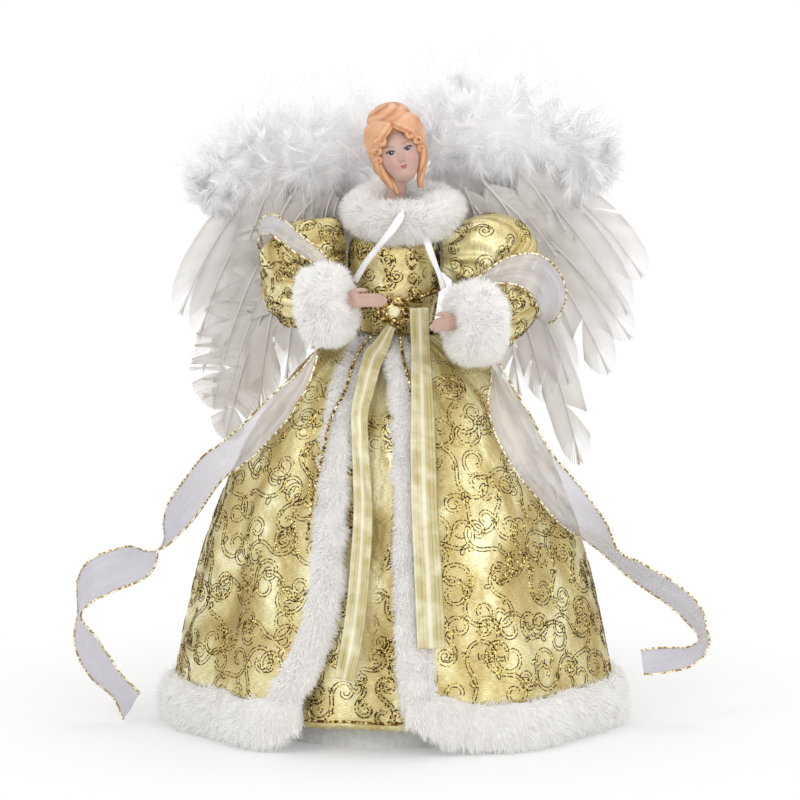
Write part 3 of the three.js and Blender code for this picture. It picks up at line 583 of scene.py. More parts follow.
# The plush trims: a thick band down each front edge of the coat, a roll round its hem, a fat
# collar and two cuffs. Each is a strip of long-pile white plush over wadding: a soft body, with
# the pile on it as fine strands that lean with the lie of the cloth and clump a little.
def let_through(material, shader, share):
    """Lets a share of the light through, as thin white fibres do."""
    tree = material.node_tree
    start = Socket(tree)
    through = start.node("BsdfTranslucent", {}, {"Color": (1, 1, 1, 1)})
    both = start.node("MixShader", {}, {0: share, 1: Socket(tree, shader.outputs[0]), 2: through})
    tree.links.new(both.socket, tree.nodes["Material Output"].inputs["Surface"])


def plush_finish():
    plush, shader, place = finish(
        "white_plush", Roughness=0.9, Sheen_Weight=0.25, Specular_IOR_Level=0.15)
    # Darker at the body and the roots of the pile than at the tips: painted shade deep in the pile,
    # over a random tone
    deep = mixed(place.noise(55, 2), tint(244, 241, 239), tint(253, 250, 248))
    dress(shader, Base_Color=mixed(place.attribute("pile"), deep, tint(255, 254, 252)))
    let_through(plush, shader, 0.5)
    return plush


white_plush = plush_finish()


def blades(rng, roots, directions, lengths, width, droop=0.0, curl=0.25):
    """Fine tapered strands: points, faces, and how far along its strand each point lies."""
    count = len(roots)
    directions = unit(directions)
    side = unit(np.cross(directions, rng.normal(size=(count, 3))))
    bend = np.cross(side, directions) * rng.normal(0, curl, (count, 1)) + [0, 0, -droop]
    points = []
    for t, aside in ((0, -1), (0, 1), (0.5, -1), (0.5, 1), (1, 0)):
        middle = roots + (directions * t + bend * t * t) * lengths[:, None]
        points.append(middle + aside * side * (width / 2) * (1 - 0.55 * t))
    first = np.arange(count)[:, None] * len(points)
    return (np.stack(points, 1).reshape(-1, 3), [first + [0, 1, 3, 2], first + [2, 3, 4]],
            np.tile([0, 0, 0.5, 0.5, 1], count))


def scatter(rng, points, faces, count):
    """Random places on a surface of four-cornered faces, evenly by area, and their normals."""
    a, b, c, d = (points[faces[:, k]] for k in range(4))
    normals = np.cross(c - a, d - b)
    size = np.linalg.norm(normals, axis=-1)
    chosen = rng.choice(len(faces), count, p=size / size.sum())
    u, v = rng.uniform(size=(2, count, 1))
    place = ((a[chosen] * (1 - u) + b[chosen] * u) * (1 - v)
             + (d[chosen] * (1 - u) + c[chosen] * u) * v)
    return place, normals[chosen] / np.maximum(size[chosen, None], 1e-9)


def closed_tube(rings, wraps=False):
    """Points and outward faces of a tube of rings; an open end gets a point in its middle."""
    rows, sides = rings.shape[:2]
    points = rings.reshape(-1, 3)
    i, j = np.meshgrid(np.arange(rows if wraps else rows - 1), np.arange(sides), indexing="ij")
    a, b = i * sides + j, i * sides + (j + 1) % sides
    c, d = (a + sides) % len(points), (b + sides) % len(points)
    skin, caps = np.stack([a, c, d, b], -1).reshape(-1, 4), np.empty((0, 3), int)
    if not wraps:
        points = np.concatenate([points, rings[[0, -1]].mean(1)])
        first, last = rows * sides, rows * sides + 1
        j = np.arange(sides)
        ahead = (j + 1) % sides
        top = (rows - 1) * sides
        caps = np.concatenate([np.stack([j, ahead, np.full(sides, first)], -1),
                               np.stack([top + ahead, top + j, np.full(sides, last)], -1)])
    p = points[skin]
    volume = (p[:, 0] * np.cross(p[:, 1], p[:, 2]) + p[:, 0] * np.cross(p[:, 2], p[:, 3])).sum()
    if volume < 0:
        skin, caps = skin[:, ::-1], caps[:, ::-1]
    return points, [skin, caps]


BODY_FLOOR, PILE_FLOOR = 0.2, 0.1  # nothing of the plush reaches below these heights


def plush(name, rings, body, node, lie, count, seed, length=5.5, lean=0.75, wraps=False):
    """A plush trim: rings of points for its body, and its pile."""
    rng = np.random.default_rng(seed)
    outwards = unit(rings - rings.mean(1, keepdims=True))
    lump = waves(seed, 9)
    rings = rings + outwards * 0.8 * lump(*np.moveaxis(rings, -1, 0))[..., None]
    rings[..., 2] = np.maximum(rings[..., 2], BODY_FLOOR)
    points, faces = closed_tube(rings, wraps)
    roots, normals = scatter(rng, points, faces[0], count)
    tangle = [waves(seed * 10 + k, 7) for k in range(3)]
    swirl = np.stack([t(*roots.T) for t in tangle], -1)
    directions = normals + lean * lie(roots) + 0.42 * swirl + rng.normal(0, 0.22, (count, 3))
    lengths = length * rng.uniform(0.7, 1.15, count)
    pile, pile_faces, along = blades(rng, roots, directions, lengths, 0.42)
    pile[:, 2] = np.maximum(pile[:, 2], PILE_FLOOR)
    # The pile tone, low at the body and high at the tips, gives the roots of the plush painted shade
    points, faces, tones = joined([(points, faces, np.full(len(points), 0.15)),
                                   (pile, pile_faces, 0.25 + 0.75 * along)])
    piece = mesh_piece(name, points, faces, white_plush, body, "white_fur", values={"pile": tones})
    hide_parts(node)


def downwards(roots):
    """The pile of an upright trim hangs down."""
    return np.broadcast_to(np.array([0, 0, -1.0]), roots.shape)


ring_angle = circle(28)
hem_steps, hem_radius, hem_middle, hem_high, hem_thick, hem_floor = 330, 131.5, 15.4, 14.6, 6.3, 0.4
hem_sweep = np.radians(np.linspace(3, 335, hem_steps))[:, None]
from_right = np.arange(hem_steps)[:, None]
from_left = from_right[::-1]
end_swell = np.minimum(1, np.minimum(0.5 + from_right / 22, 0.55 + from_left / 12))
hem_lift = 12 * np.exp(-(from_right / 13) ** 2) + 7 * np.exp(-(from_left / 8) ** 2)
hem_r = hem_radius + flute(hem_sweep) + hem_thick * end_swell * np.cos(ring_angle)
hem_z = np.maximum(hem_floor, hem_middle + hem_lift + hem_high * end_swell * np.sin(ring_angle))
hem_rings = np.stack([
    hem_r * np.sin(hem_sweep), -hem_r * np.cos(hem_sweep) * COAT_DEPTH, hem_z], -1)
plush("hem_plush", hem_rings, "figure", "fur_hem", downwards, 52000, seed=21)

band_steps = 90
share = np.linspace(0, COAT_END + 0.01, band_steps)[:, None]
from_end = np.minimum(np.arange(band_steps), np.arange(band_steps)[::-1])[:, None]
band_swell = np.minimum(1, 0.72 + from_end / 18)
for side, seed in (("left", 22), ("right", 23)):
    edge = band_edge(share, side, 0.84 * band_swell * np.cos(ring_angle))
    rings = coat_point(share, edge, 1.2 + 3.6 * band_swell * np.sin(ring_angle))
    plush(f"front_plush_{side}", rings, "figure", f"fur_band_{side}", downwards, 26000,
          length=4.6, seed=seed)

ring_angle = circle(24)
collar_sweep = circle(120)[:, None]
collar_tilt, collar_middle = math.radians(9), (5.5, -1.5, 308.5)
collar_r, collar_wide, collar_high = 22.2, 10.8, 9.2
r = collar_r + collar_wide * np.cos(ring_angle) * (1 + 0.05 * np.cos(3 * collar_sweep))
x, y = r * np.sin(collar_sweep), -r * np.cos(collar_sweep)
z = np.broadcast_to(collar_high * np.sin(ring_angle), x.shape)
collar_rings = np.stack([x, y * math.cos(collar_tilt) - z * math.sin(collar_tilt),
                         y * math.sin(collar_tilt) + z * math.cos(collar_tilt)], -1) + collar_middle


def from_neck(roots):
    """The collar's pile leans outwards from the neck and a little down."""
    return unit(roots * [1, 1, 0]) + [0, 0, -0.5]


plush("collar_plush", collar_rings, "figure", "fur_collar", from_neck, 30000, length=6, lean=0.5,
      seed=24, wraps=True)

CUFFS = {"left": ((-40, -50, 260), (-5.5, -60, 266)), "right": ((48, -50, 249), (23, -62, 250))}


def cuff_frame(side):
    """The middle of a cuff and its three axes: towards the hand, across and up."""
    middle, hand = (np.array(p, float) for p in CUFFS[side])
    out = unit(hand - middle)
    across = unit(np.cross([0, 0, 1], out))
    return middle, out, across, np.cross(out, across)


cuff_shape = [[0, -10.5, 4.3], [0.12, -11.6, 12], [0.3, -9.5, 20], [0.5, 0, 21.8], [0.7, 9.5, 19.5],
              [0.88, 11.6, 12], [1, 10.4, 4.3]]
for side, seed in (("left", 25), ("right", 26)):
    middle, out, across, up = cuff_frame(side)
    places = spline(cuff_shape, np.linspace(0, 1, 34))
    ring = np.cos(ring_angle)[:, None] * across + np.sin(ring_angle)[:, None] * up
    cuff_rings = middle + places[:, 1, None, None] * out + places[:, 2, None, None] * ring[None]

    def from_wrist(roots, out=out):
        """A cuff's pile leans from the hand back over the sleeve, and down."""
        return np.broadcast_to(-0.35 * out + [0, 0, -0.5], roots.shape)

    plush(f"cuff_plush_{side}", cuff_rings, f"arm_{side}", f"fur_cuff_{side}", from_wrist, 15000,
          length=6, lean=0.6, seed=seed)


# The bodice and sleeves, of the same brocade. The bodice is fitted over the torso. Each sleeve is
# one stuffed tube, gathered into the armhole, full to the elbow and gathered again at the cuff.
BODICE_PROFILE = [[296.5, 14.5], [294.5, 20], [291, 24.3], [286, 26.4], [274, 26.6], [262, 26.3],
                  [249, 24.6], [236.6, 22.3]]
stretch = waves(31, 0.5)


def bodice_surface(angle, share, above=0.0):
    share, angle = np.broadcast_arrays(share, angle)
    place = spline(BODICE_PROFILE, share)
    tuck = 0.5 * np.cos(26 * angle) * np.exp(-((1 - share) / 0.22) ** 2)
    r = place[..., 1] + tuck + 0.35 * stretch(angle * 1.5, share) + above
    return np.stack([r * np.sin(angle), -r * np.cos(angle), place[..., 0]], -1)


share = np.linspace(0, 1, 46)
angle = math.pi + circle(130)[:, None]
bodice, bodice_area = cloth("bodice_cloth", bodice_surface(angle, share[None]), brocade, "figure",
                            "gold_brocade", thick=0.6, wraps=True)
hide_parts("bodice")
centres = scattered(np.random.default_rng(33), (0, 0.2), (2 * math.pi, 0.98), 4, lambda b: 9)
bodice_threads = embroidery("bodice_embroidery", bodice_surface, centres, "figure", size=6,
                            inside=lambda a, b: (b > 0.12) & (b < 0.99), seed=34)

SLEEVES = {
    "left": (-1, [[28.9, 0, 283, 8], [32, 0, 283, 14], [40, 0, 283, 19.5], [51, -1, 282, 22],
                  [60, -4, 277, 20], [63, -12, 267, 16.5], [60, -23, 262, 17.5],
                  [55, -33, 260.5, 16], [49, -41, 260.3, 11]]),
    "right": (1, [[28.9, 0, 283, 8], [34, 0, 283, 15], [44, 0, 283, 21], [58, -1, 283, 24],
                  [69, -4, 277, 21], [71, -14, 264, 16], [68, -25, 254, 17.5],
                  [63, -35, 249.8, 16], [56, -43, 249.2, 11]]),
}


def grid_surface(grid):
    """A surface through a closed grid: angle round it, share along it, and height above it."""
    normals = grid_normals(grid, True)
    if ((grid - grid.mean(0, keepdims=True)) * normals).sum() < 0:
        normals = -normals
    sides, rows = grid.shape[:2]

    def surface(angle, share, above=0.0):
        angle, share, above = np.broadcast_arrays(angle, share, above)
        x = np.mod(angle / (2 * math.pi), 1) * sides
        y = np.clip(share, 0, 1) * (rows - 1)
        i, j = x.astype(int) % sides, np.minimum(y.astype(int), rows - 2)
        u, v = (x - np.floor(x))[..., None], (y - j)[..., None]

        def between(field):
            near = field[i, j] * (1 - v) + field[i, j + 1] * v
            far = field[(i + 1) % sides, j] * (1 - v) + field[(i + 1) % sides, j + 1] * v
            return near * (1 - u) + far * u
        return between(grid) + between(normals) * above[..., None]
    return surface


for side, (sign, stations) in SLEEVES.items():
    soft_seed, small_seed, thread_seed = (35, 37, 41) if side == "left" else (36, 38, 42)
    share = np.linspace(0, 1, 84)
    place = spline(np.array(stations, float) * [sign, 1, 1, 1], share)
    along = unit(np.gradient(place[:, :3], axis=0))
    across = unit(np.cross([0, 0, 1], along))
    up = np.cross(along, across)
    a = circle(110)[:, None]
    soft, small = waves(soft_seed, 1.0), waves(small_seed, 0.34)
    round_x, round_y = 1.7 * np.cos(a), 1.7 * np.sin(a)
    top = np.exp(-(share / 0.24) ** 2)
    end = np.exp(-((1 - share) / 0.17) ** 2)
    swell = (2.2 * top * np.cos(12 * a + 2 * np.sin(2 * a)) + 1.4 * end * np.cos(10 * a)
             + 1.5 * soft(round_x, round_y, 3 * share[None]) * (1 - 0.5 * end)
             + 1.1 * small(round_x, round_y, 3.4 * share[None]))
    radius = place[None, :, 3] + swell
    grid = (place[None, :, :3] + (radius * np.cos(a))[..., None] * across
            + (radius * np.sin(a))[..., None] * up)
    for _ in range(5):
        grid[:, 1:-1] = 0.5 * grid[:, 1:-1] + 0.25 * (grid[:, :-2] + grid[:, 2:])
    points, faces = closed_tube(grid.swapaxes(0, 1))
    uv = np.stack(np.broadcast_arrays(1.3 * np.sin(a / 2).T, share[:, None] * 1.1), -1).reshape(-1, 2)
    uv = np.concatenate([uv, [[0.5, 0], [0.5, 1.1]]])
    sleeve = mesh_piece(f"sleeve_{side}", points, faces, brocade, f"arm_{side}", "gold_brocade",
                        uv=uv)
    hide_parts(f"sleeve_puff_{side}", f"sleeve_lower_{side}")
    centres = scattered(np.random.default_rng(39), (0, 0.1), (2 * math.pi, 0.97), 6, lambda b: 6)
    embroidery(f"sleeve_embroidery_{side}", grid_surface(grid), centres, f"arm_{side}", size=6.8,
               width=0.65, inside=lambda a, b: (b > 0.04) & (b < 0.97), lift=0.05,
               seed=thread_seed)


# The wings. Each is a card shape on a wire; nine goose feathers are glued to the card in three
# fans, shorter soft coverts lie over their roots, and plumes of white marabou hide the glue. A
# long feather is a quill with barbs that lap each other and part here and there.
def feather_finish():
    feather, shader, place = finish("goose_feather", Roughness=0.6, Specular_IOR_Level=0.25)
    # The darkest tones are the painted shade at the vanes' edges; the rest is the feathers' own tone
    dress(shader, Base_Color=place.attribute("barb").ramp(
        (0.0, tint(176, 167, 161)), (0.3, tint(208, 202, 198)), (0.6, tint(226, 222, 219)),
        (1.0, tint(246, 245, 245))))
    let_through(feather, shader, 0.3)
    return feather


def down_finish():
    down, shader, place = finish("marabou_down", Roughness=0.9, Specular_IOR_Level=0.1)
    pile = place.attribute("pile")
    dress(shader, Base_Color=mixed(pile, tint(255, 255, 255), tint(240, 237, 243)),
          Alpha=pile.ranged(0.12, 0.2, 1.0, 0.42))
    let_through(down, shader, 0.6)
    return down


goose_feather = feather_finish()
marabou_down = down_finish()

WINGS = {
    "left": (-1, [[16, 330, 14], [30, 342, 27], [50, 341, 29], [72, 336, 24], [92, 330, 21],
                  [106, 319, 18], [114, 311, 9]],
             [[78, 324, 129, 239, 24], [68, 326, 118, 225, 24], [50, 308, 116, 205, 24],
              [62, 306, 110, 182, 40], [54, 300, 104, 172, 38], [50, 296, 102, 163, 32],
              [46, 320, 82, 182, 25], [38, 314, 65, 201, 25], [32, 306, 49, 219, 22]]),
    "right": (1, [[21, 334, 14], [33, 350, 28], [54, 358, 30], [78, 353, 29], [98, 342, 24],
                  [117, 335, 21], [129, 331, 10]],
              [[92, 326, 150, 262, 24], [74, 328, 141, 240, 25], [60, 312, 143, 225, 24],
               [56, 316, 130, 204, 25], [48, 306, 106, 198, 25], [52, 296, 113, 148, 24],
               [46, 302, 92, 188, 22], [40, 312, 76, 190, 24], [34, 306, 56, 210, 22]]),
}
# How ragged the vanes of each fan are, and how often they split
FAN_WEAR = {"left": ((0.0, 0), (0.12, 8), (0.1, 3)), "right": ((0.0, 1), (0.02, 1), (0.05, 2))}
FEATHER_OUTLINE = [[0, 0.08], [0.2, 0.34], [0.45, 0.46], [0.7, 0.5], [0.86, 0.47], [0.94, 0.36],
                   [0.98, 0.22], [1, 0.05]]


def feather(rng, root, tip, width, y, barbs, bend, ragged, parts):
    """A feather in the plane of the wing, x outwards: points, faces and each point's tone."""
    root, tip = np.array(root, float), np.array(tip, float)
    length = np.linalg.norm(tip - root)
    along = (tip - root) / length
    across = np.array([-along[1], along[0]])
    lie = 14 if parts < 4 else 7  # how far a barb's end lies ahead of its root
    tip_width = 0.3 if parts > 2 else 0.52  # of a barb, against the space that it has

    def spine(t):
        return root + np.multiply.outer(t * length, along) + np.multiply.outer(
            0.05 * length * np.sin(math.pi * t), across)

    vanes = []
    for side in (-1, 1):
        points, tones = [], []
        t = np.linspace(0.04, 0.985, barbs)
        sweep = (lie / length) * (0.75 + 0.5 * t) * np.clip((1.01 - t) / 0.12, 0.2, 1)
        for _ in range(parts):
            split, wide = rng.uniform(0.25, 0.95), rng.uniform(0.012, 0.05)
            gap = rng.uniform(0.4, 1.6) * wide
            sweep = sweep + np.where(t > split, gap, -gap) * np.exp(-np.abs(t - split) / wide)
        reach = np.minimum(t + sweep, 1.0)
        edge = np.interp(reach, *np.array(FEATHER_OUTLINE).T) * width
        edge = edge * (1 - (0.01 + 0.25 * ragged) * rng.uniform(size=barbs)
                       - ragged * np.clip(waves(rng.integers(1 << 30), 0.13)(t), 0, 1))
        shade = 0.5 + 0.07 * waves(rng.integers(1 << 30), 0.12)(t) + rng.normal(0, 0.025, barbs)
        apart = length * 0.925 / barbs
        # Along each barb: the place, its half width and how light it is there. The outer end is much
        # darker: painted shade along the vane's edge, where the feathers lap
        for q, half_width, light in ((0, 0.62, -0.05), (0.34, 0.66, 0.06), (0.68, 0.62, 0.1),
                                     (1, tip_width, -0.34)):
            middle = spine(t + (reach - t) * q**1.25)
            middle = middle + np.multiply.outer(side * edge * q, across)
            depth = y - 0.5 * q + 1.4 * q * q + bend * t * t + rng.normal(0, 0.015, barbs)
            for sign in (-1, 1):
                spot = middle + along * apart * half_width * sign
                points.append(np.stack([spot[:, 0], depth + 0.05 * sign, spot[:, 1]], -1))
                tones.append(np.clip(shade + light + 0.015 * sign, 0, 1))
        index = np.arange(barbs)
        quads = [np.stack([a, a + barbs, a + 3 * barbs, a + 2 * barbs], -1)
                 for a in (index, index + 2 * barbs, index + 4 * barbs)]
        vanes.append((np.concatenate(points), quads, np.concatenate(tones)))
    t = np.linspace(-0.04, 0.98, 16)
    quill_r = 0.95 * (1 - t) ** 0.8 + 0.12
    around = circle(6)
    middle = spine(np.maximum(t, 0)) + np.multiply.outer(np.minimum(t, 0) * length, along)
    depth = y - 0.7 + bend * np.clip(t, 0, 1) ** 2
    quill, faces = closed_tube(np.stack([
        middle[:, :1] + np.multiply.outer(quill_r, np.cos(around)) * across[0],
        depth[:, None] + np.multiply.outer(quill_r, np.sin(around)),
        middle[:, 1:] + np.multiply.outer(quill_r, np.cos(around)) * across[1]], -1))
    return joined([*vanes, (quill, faces, np.full(len(quill), 0.68))])


def feather_piece(name, made, sign, body):
    """Joins feathers into one piece; sign turns their outward x to the wing's own side."""
    points, faces, tones = joined(made)
    return mesh_piece(name, points * [sign, 1, 1], faces, goose_feather, body, "feather",
                      values={"barb": tones})


def marabou(rng, roots, directions, grown, quill, barb, per):
    """Plumes: from each root a soft quill, with a row of fine barbs down either side of it."""
    count = len(roots)
    directions = unit(directions)
    across = unit(np.cross(directions, rng.normal(size=(count, 3)) + [0, 4, 0]))
    lengths = quill * grown[:, None, None] * rng.uniform(0.75, 1.25, (count, 1, 1))
    q = np.clip(np.linspace(0.06, 1, per)[:, None] + rng.normal(0, 0.02, (count, per, 1)), 0, 1)
    curl = np.cross(across, directions)[:, None] * rng.normal(0, 0.2, (count, 1, 1))
    curl = curl + across[:, None] * rng.normal(0, 0.22, (count, 1, 1))
    base = roots[:, None] + (directions[:, None] * q + curl * q * q) * lengths
    sides = np.where(np.arange(per) % 2, 1, -1)[:, None]
    heading = (directions[:, None] * (0.5 + 0.7 * q) + sides * across[:, None] * (1 - 0.75 * q)
               + curl * q + rng.normal(0, 0.05, (count, per, 3)))
    size = barb * grown[:, None] * rng.uniform(0.75, 1.1, (count, per)) * (1.08 - 0.25 * q[..., 0])
    return blades(rng, base.reshape(-1, 3), heading.reshape(-1, 3), size.ravel(), 0.46,
                  droop=0.04, curl=0.04)


CARD_FRONT = 37.85  # the plane of the first feather, on the front of the card
ROLL_Y = 38  # the middle of the roll of marabou, from front to back
PIN_X, PIN_Y, FOLDED = 10, 41.2, math.radians(35)  # the hinge pin and how far the wing folds
CLEAR = 0.6  # no barb comes nearer to the figure's middle
# The layers of down: how many plumes, how deep their roots lie, the length of quill and barb, the
# barbs of a plume, how far they stand out of the wing's plane, and whether only over the arch
DOWN_LAYERS = ((330, (10, 20), 16, 14, 100, 0.4, False), (200, (4, 11), 12, 13, 80, 0.1, False),
               (64, (2, 6), 15, 13, 60, 0.05, True))
for side, (sign, down_stations, feathers) in WINGS.items():
    rng = np.random.default_rng(51 if side == "left" else 52)
    for f, fan in enumerate(("outer", "middle", "inner")):
        made = []
        ragged, parts = FAN_WEAR[side][f]
        for k in range(3 * f, 3 * f + 3):
            x0, z0, x1, z1, width = feathers[k]
            y = CARD_FRONT - 0.8 * k - 0.5 * f
            made.append(feather(rng, (x0, z0), (x1, z1), width, y, 150, rng.uniform(-5, 2),
                                ragged, parts))
        fan_piece = feather_piece(f"fan_{fan}_{side}", made, sign, f"wing_{side}")
        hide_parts(f"feathers_{fan}_{side}")

    # Coverts: softer and shorter, in two rows over the roots in front and two behind
    made = []
    for front, y, reach in ((True, 28.6, 0.3), (True, 26.8, 0.2), (False, 43, 0.62),
                            (False, 45, 0.4)):
        for k in range(1, 9):
            x0, z0, x1, z1, width = feathers[k]
            root, tip = np.array([x0, z0 + 4.0]), np.array([x1, z1], float)
            root = root + rng.uniform(-3, 3, 2)
            tip = root + (tip - root) * (reach + (0.12 if k < 4 else 0)) * rng.uniform(0.85, 1.1)
            made.append(feather(rng, root, tip, width * 1.1, y + rng.uniform(-0.6, 0.6), 90,
                                rng.uniform(-3, -1) if front else rng.uniform(0, 3), 0.04, 2))
    feather_piece(f"coverts_{side}", made, sign, f"wing_{side}")

    # The roll of marabou: a soft core along the arch and plumes standing out of it
    share = np.linspace(0, 1, 40)
    place = spline(down_stations, share)
    run = unit(np.gradient(place[:, :2], axis=0))
    upwards = np.stack([-run[:, 1], run[:, 0]], -1)

    def roll(at, turn, off):
        """A point near the roll's surface, x outwards, and the way out of the roll there."""
        x, z, r, up_x, up_z = (np.interp(at, share, values) for values in (*place.T, *upwards.T))
        r = np.maximum(r + off, 2)
        high, deep = r * np.sin(turn), 0.82 * r * np.cos(turn)
        out = np.stack([up_x * np.sin(turn), np.cos(turn), up_z * np.sin(turn)], -1)
        return np.stack([x + up_x * high, ROLL_Y + deep, z + up_z * high], -1), out

    core, _ = roll(*np.broadcast_arrays(share[:, None], circle(26)), -10)
    core, core_faces = closed_tube(core * [sign, 1, 1])
    layers = []
    for count, sunk, quill, barb, per, flat, over_arch in DOWN_LAYERS:
        spots, turns = rng.uniform(-0.02, 1.02, count), rng.uniform(0, 2 * math.pi, count)
        if over_arch:
            turns = rng.uniform(0.1 * math.pi, 0.9 * math.pi, count)
        roots, out = roll(np.clip(spots, 0, 1), turns, -rng.uniform(*sunk, count))
        grown = np.clip(np.interp(spots, share, place[:, 2]) / 25, 0.5, 1)
        inward = 1.1 * np.exp(-(spots / 0.06) ** 2)
        push = np.stack([0.1 + 0.6 * spots - inward, np.zeros(count), 0.5 - 0.5 * spots], -1)
        hang = np.clip(-np.sin(turns), 0, 1)[:, None] * [0, 0, -0.4]
        directions = (out * [1, flat, 1] + 0.5 * push + hang
                      + rng.normal(0, 0.25, (count, 3)) * [1, flat, 1])
        layers.append(marabou(rng, roots, directions, grown, quill, barb, per))
    barbs, barb_faces, along = joined(layers)
    barbs[:, 2] = np.maximum(barbs[:, 2], place[:, 1].min() - 36)
    # No barb passes the middle, also with the wing folded back about its pin
    inner = PIN_X + (CLEAR - PIN_X + (barbs[:, 1] - PIN_Y) * math.sin(FOLDED)) / math.cos(FOLDED)
    barbs[:, 0] = np.maximum(barbs[:, 0], np.maximum(inner, CLEAR))
    points, faces, tones = joined([(core, core_faces, np.full(len(core), 0.1)),
                                   (barbs * [sign, 1, 1], barb_faces, 0.2 + 0.8 * along)])
    down = mesh_piece(f"marabou_{side}", points, faces, marabou_down, f"wing_{side}", "feather",
                      values={"pile": tones})
    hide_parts(f"wing_down_{side}")


# The head: bisque, cast hollow with its moulded hair, painted by hand and glazed over the hair.
# The hair is combed up in waves over the forehead to a bun, with curls at the temples and long
# locks down each side of the neck. The neck goes down through the collar into the torso.
HEAD_AT, HEAD_LEAN, HEAD_TURN, HEAD_NOD = (2, -5, 347), 15, 6, 4


def place_head(points):
    """Turns, nods, leans and places points given about the head's own middle."""
    turned = np.asarray(points, float)
    for axis, degrees in ((2, HEAD_TURN), (0, HEAD_NOD), (1, -HEAD_LEAN)):
        a = math.radians(degrees)
        i, j = ((1, 2), (2, 0), (0, 1))[axis]
        first, second = turned[..., i].copy(), turned[..., j].copy()
        turned = turned.copy()
        turned[..., i] = first * math.cos(a) - second * math.sin(a)
        turned[..., j] = first * math.sin(a) + second * math.cos(a)
    return turned + HEAD_AT


def ball_grid(wide, high):
    """Unit directions on a ball, as rings from the top down, without the poles."""
    tilt = np.linspace(0, math.pi, high + 2)[1:-1, None]
    turn = circle(wide)
    return np.stack(np.broadcast_arrays(
        np.sin(tilt) * np.sin(turn), -np.sin(tilt) * np.cos(turn), np.cos(tilt)), -1)


# The skull, the cheeks and the chin are three crossing balls: middle and radii
ball = ball_grid(150, 130)
radii = []
for middle, size in (((0, 0, 0), (13, 14.5, 17.5)), ((0, -5.6, -4), (11.8, 11, 16)),
                     ((0, -8, -13.4), (7.4, 7, 7.2))):
    d, m = ball / size, np.array(middle) / size
    half_b = (d * m).sum(-1)
    square = (d * d).sum(-1)
    root = half_b**2 - square * ((m * m).sum() - 1)
    radii.append(np.where(root > 0, (half_b + np.sqrt(np.maximum(root, 0))) / square, 0))
radii = np.maximum(np.array(radii), 0.1)
skin_grid = ball * ((radii**14).mean(0) ** (1 / 14))[..., None]

# The features: how far each stands out or in, its place aside and up, and its width and height
aside, high = np.abs(skin_grid[..., 0]), skin_grid[..., 2]
relief = sum(out * np.exp(-((aside - x) / wide) ** 2 - ((high - z) / tall) ** 2)
             for out, x, z, wide, tall in (
                 (2.5, 0, -3.6, 1.35, 1.5), (1.5, 0, -1.4, 0.95, 2.6), (0.7, 1.5, -4.1, 0.8, 0.8),
                 (-1.25, 4.9, 1.2, 3, 1.9), (0.75, 5.2, 1.0, 1.9, 1.15), (0.5, 5, 4.0, 3.6, 1.3),
                 (0.8, 6, -4.6, 2.8, 2.8), (0.75, 0.8, -7.6, 1.3, 0.7), (0.85, 0, -9.1, 1.6, 0.85),
                 (-0.45, 0, -8.35, 2.6, 0.28), (-0.4, 0, -10.7, 2.2, 0.8),
                 (1.0, 0, -13.2, 2.6, 2.2), (-0.3, 0, -6.1, 0.5, 0.8)))
skin_grid[..., 1] -= relief * np.clip(-skin_grid[..., 1] / 8, 0, 1)
face_points, face_faces = closed_tube(skin_grid)
neck_way = spline([[0, 0, 286, 6.3], [0, 0, 303, 6.2], [0.8, -1, 318, 6.0], [2.4, -3, 330, 6.4],
                   [3.2, -3.6, 338, 7.4]], np.linspace(0, 1, 30))
a = circle(40)
neck_points, neck_faces = closed_tube(
    neck_way[:, None, :3] + neck_way[:, 3, None, None] * np.stack([np.sin(a), -np.cos(a), 0 * a], -1))


def bisque_finish(name, painted=False):
    bisque, shader, place = finish(name, Roughness=0.48, Subsurface_Weight=0.12,
                                   Subsurface_Radius=(0.004, 0.0018, 0.001))
    tone = mixed(place.noise(240, 2), tint(183, 150, 135), tint(197, 166, 152))
    if painted:
        x, z = place.attribute("face_x"), place.attribute("face_z")
        ax = x.math("ABSOLUTE")

        def spot(across, at_x, at_z, wide, high, soft=0.25):
            far = ((across - at_x) * (1 / wide)).math("POWER", 2) + (
                (z - at_z) * (1 / high)).math("POWER", 2)
            return far.ranged(1 + soft, max(1 - soft, 0), kind="SMOOTHSTEP")

        white = spot(ax, 5.3, 1.05, 2.1, 0.98)
        lash = spot(ax, 5.4, 1.5, 2.75, 1.25) * (1 - spot(ax, 5.25, 0.85, 2.3, 1.0, 0.15))
        lid = spot(ax, 5.3, 2.25, 2.7, 1.3) * (1 - spot(ax, 5.3, 1.95, 2.75, 1.25, 0.15))
        brow = spot(ax, 5.4, 4.1, 3.1, 1.25) * (1 - spot(ax, 5.6, 3.45, 3.5, 1.3, 0.2))
        lips = spot(ax, 0.95, -7.7, 1.2, 0.62).math("MAXIMUM", spot(x, 0, -9.0, 1.75, 0.78))
        for colour, where in (
            ((216, 152, 148), spot(ax, 6.2, -4.4, 3.6, 3.1, 1.0) * 0.4),
            ((168, 150, 160), spot(ax, 5.2, 2.2, 3, 1.2, 0.9) * 0.3),
            ((176, 172, 178), white),
            ((26, 30, 46), spot(ax, 5.15, 1.15, 1.5, 1.25) * white),
            ((10, 10, 16), spot(ax, 5.15, 1.15, 0.7, 0.7)),
            # Painted highlights: a white dot beside each pupil, on the same side of both
            ((250, 250, 252), spot(x, 5.6, 1.5, 0.28, 0.28)),
            ((250, 250, 252), spot(x, -4.7, 1.5, 0.28, 0.28)),
            ((30, 22, 24), lash),
            ((120, 92, 84), lid * 0.6),
            ((150, 108, 74), brow * 0.8),
            ((176, 92, 92), lips * 0.85),
            ((120, 50, 54), spot(x, 0, -8.3, 2.2, 0.17, 0.5)),
            ((186, 130, 122), spot(ax, 0.85, -4.9, 0.42, 0.26)),
        ):
            tone = mixed(where, tone, tint(*colour))
    dress(shader, Base_Color=tone)
    return bisque


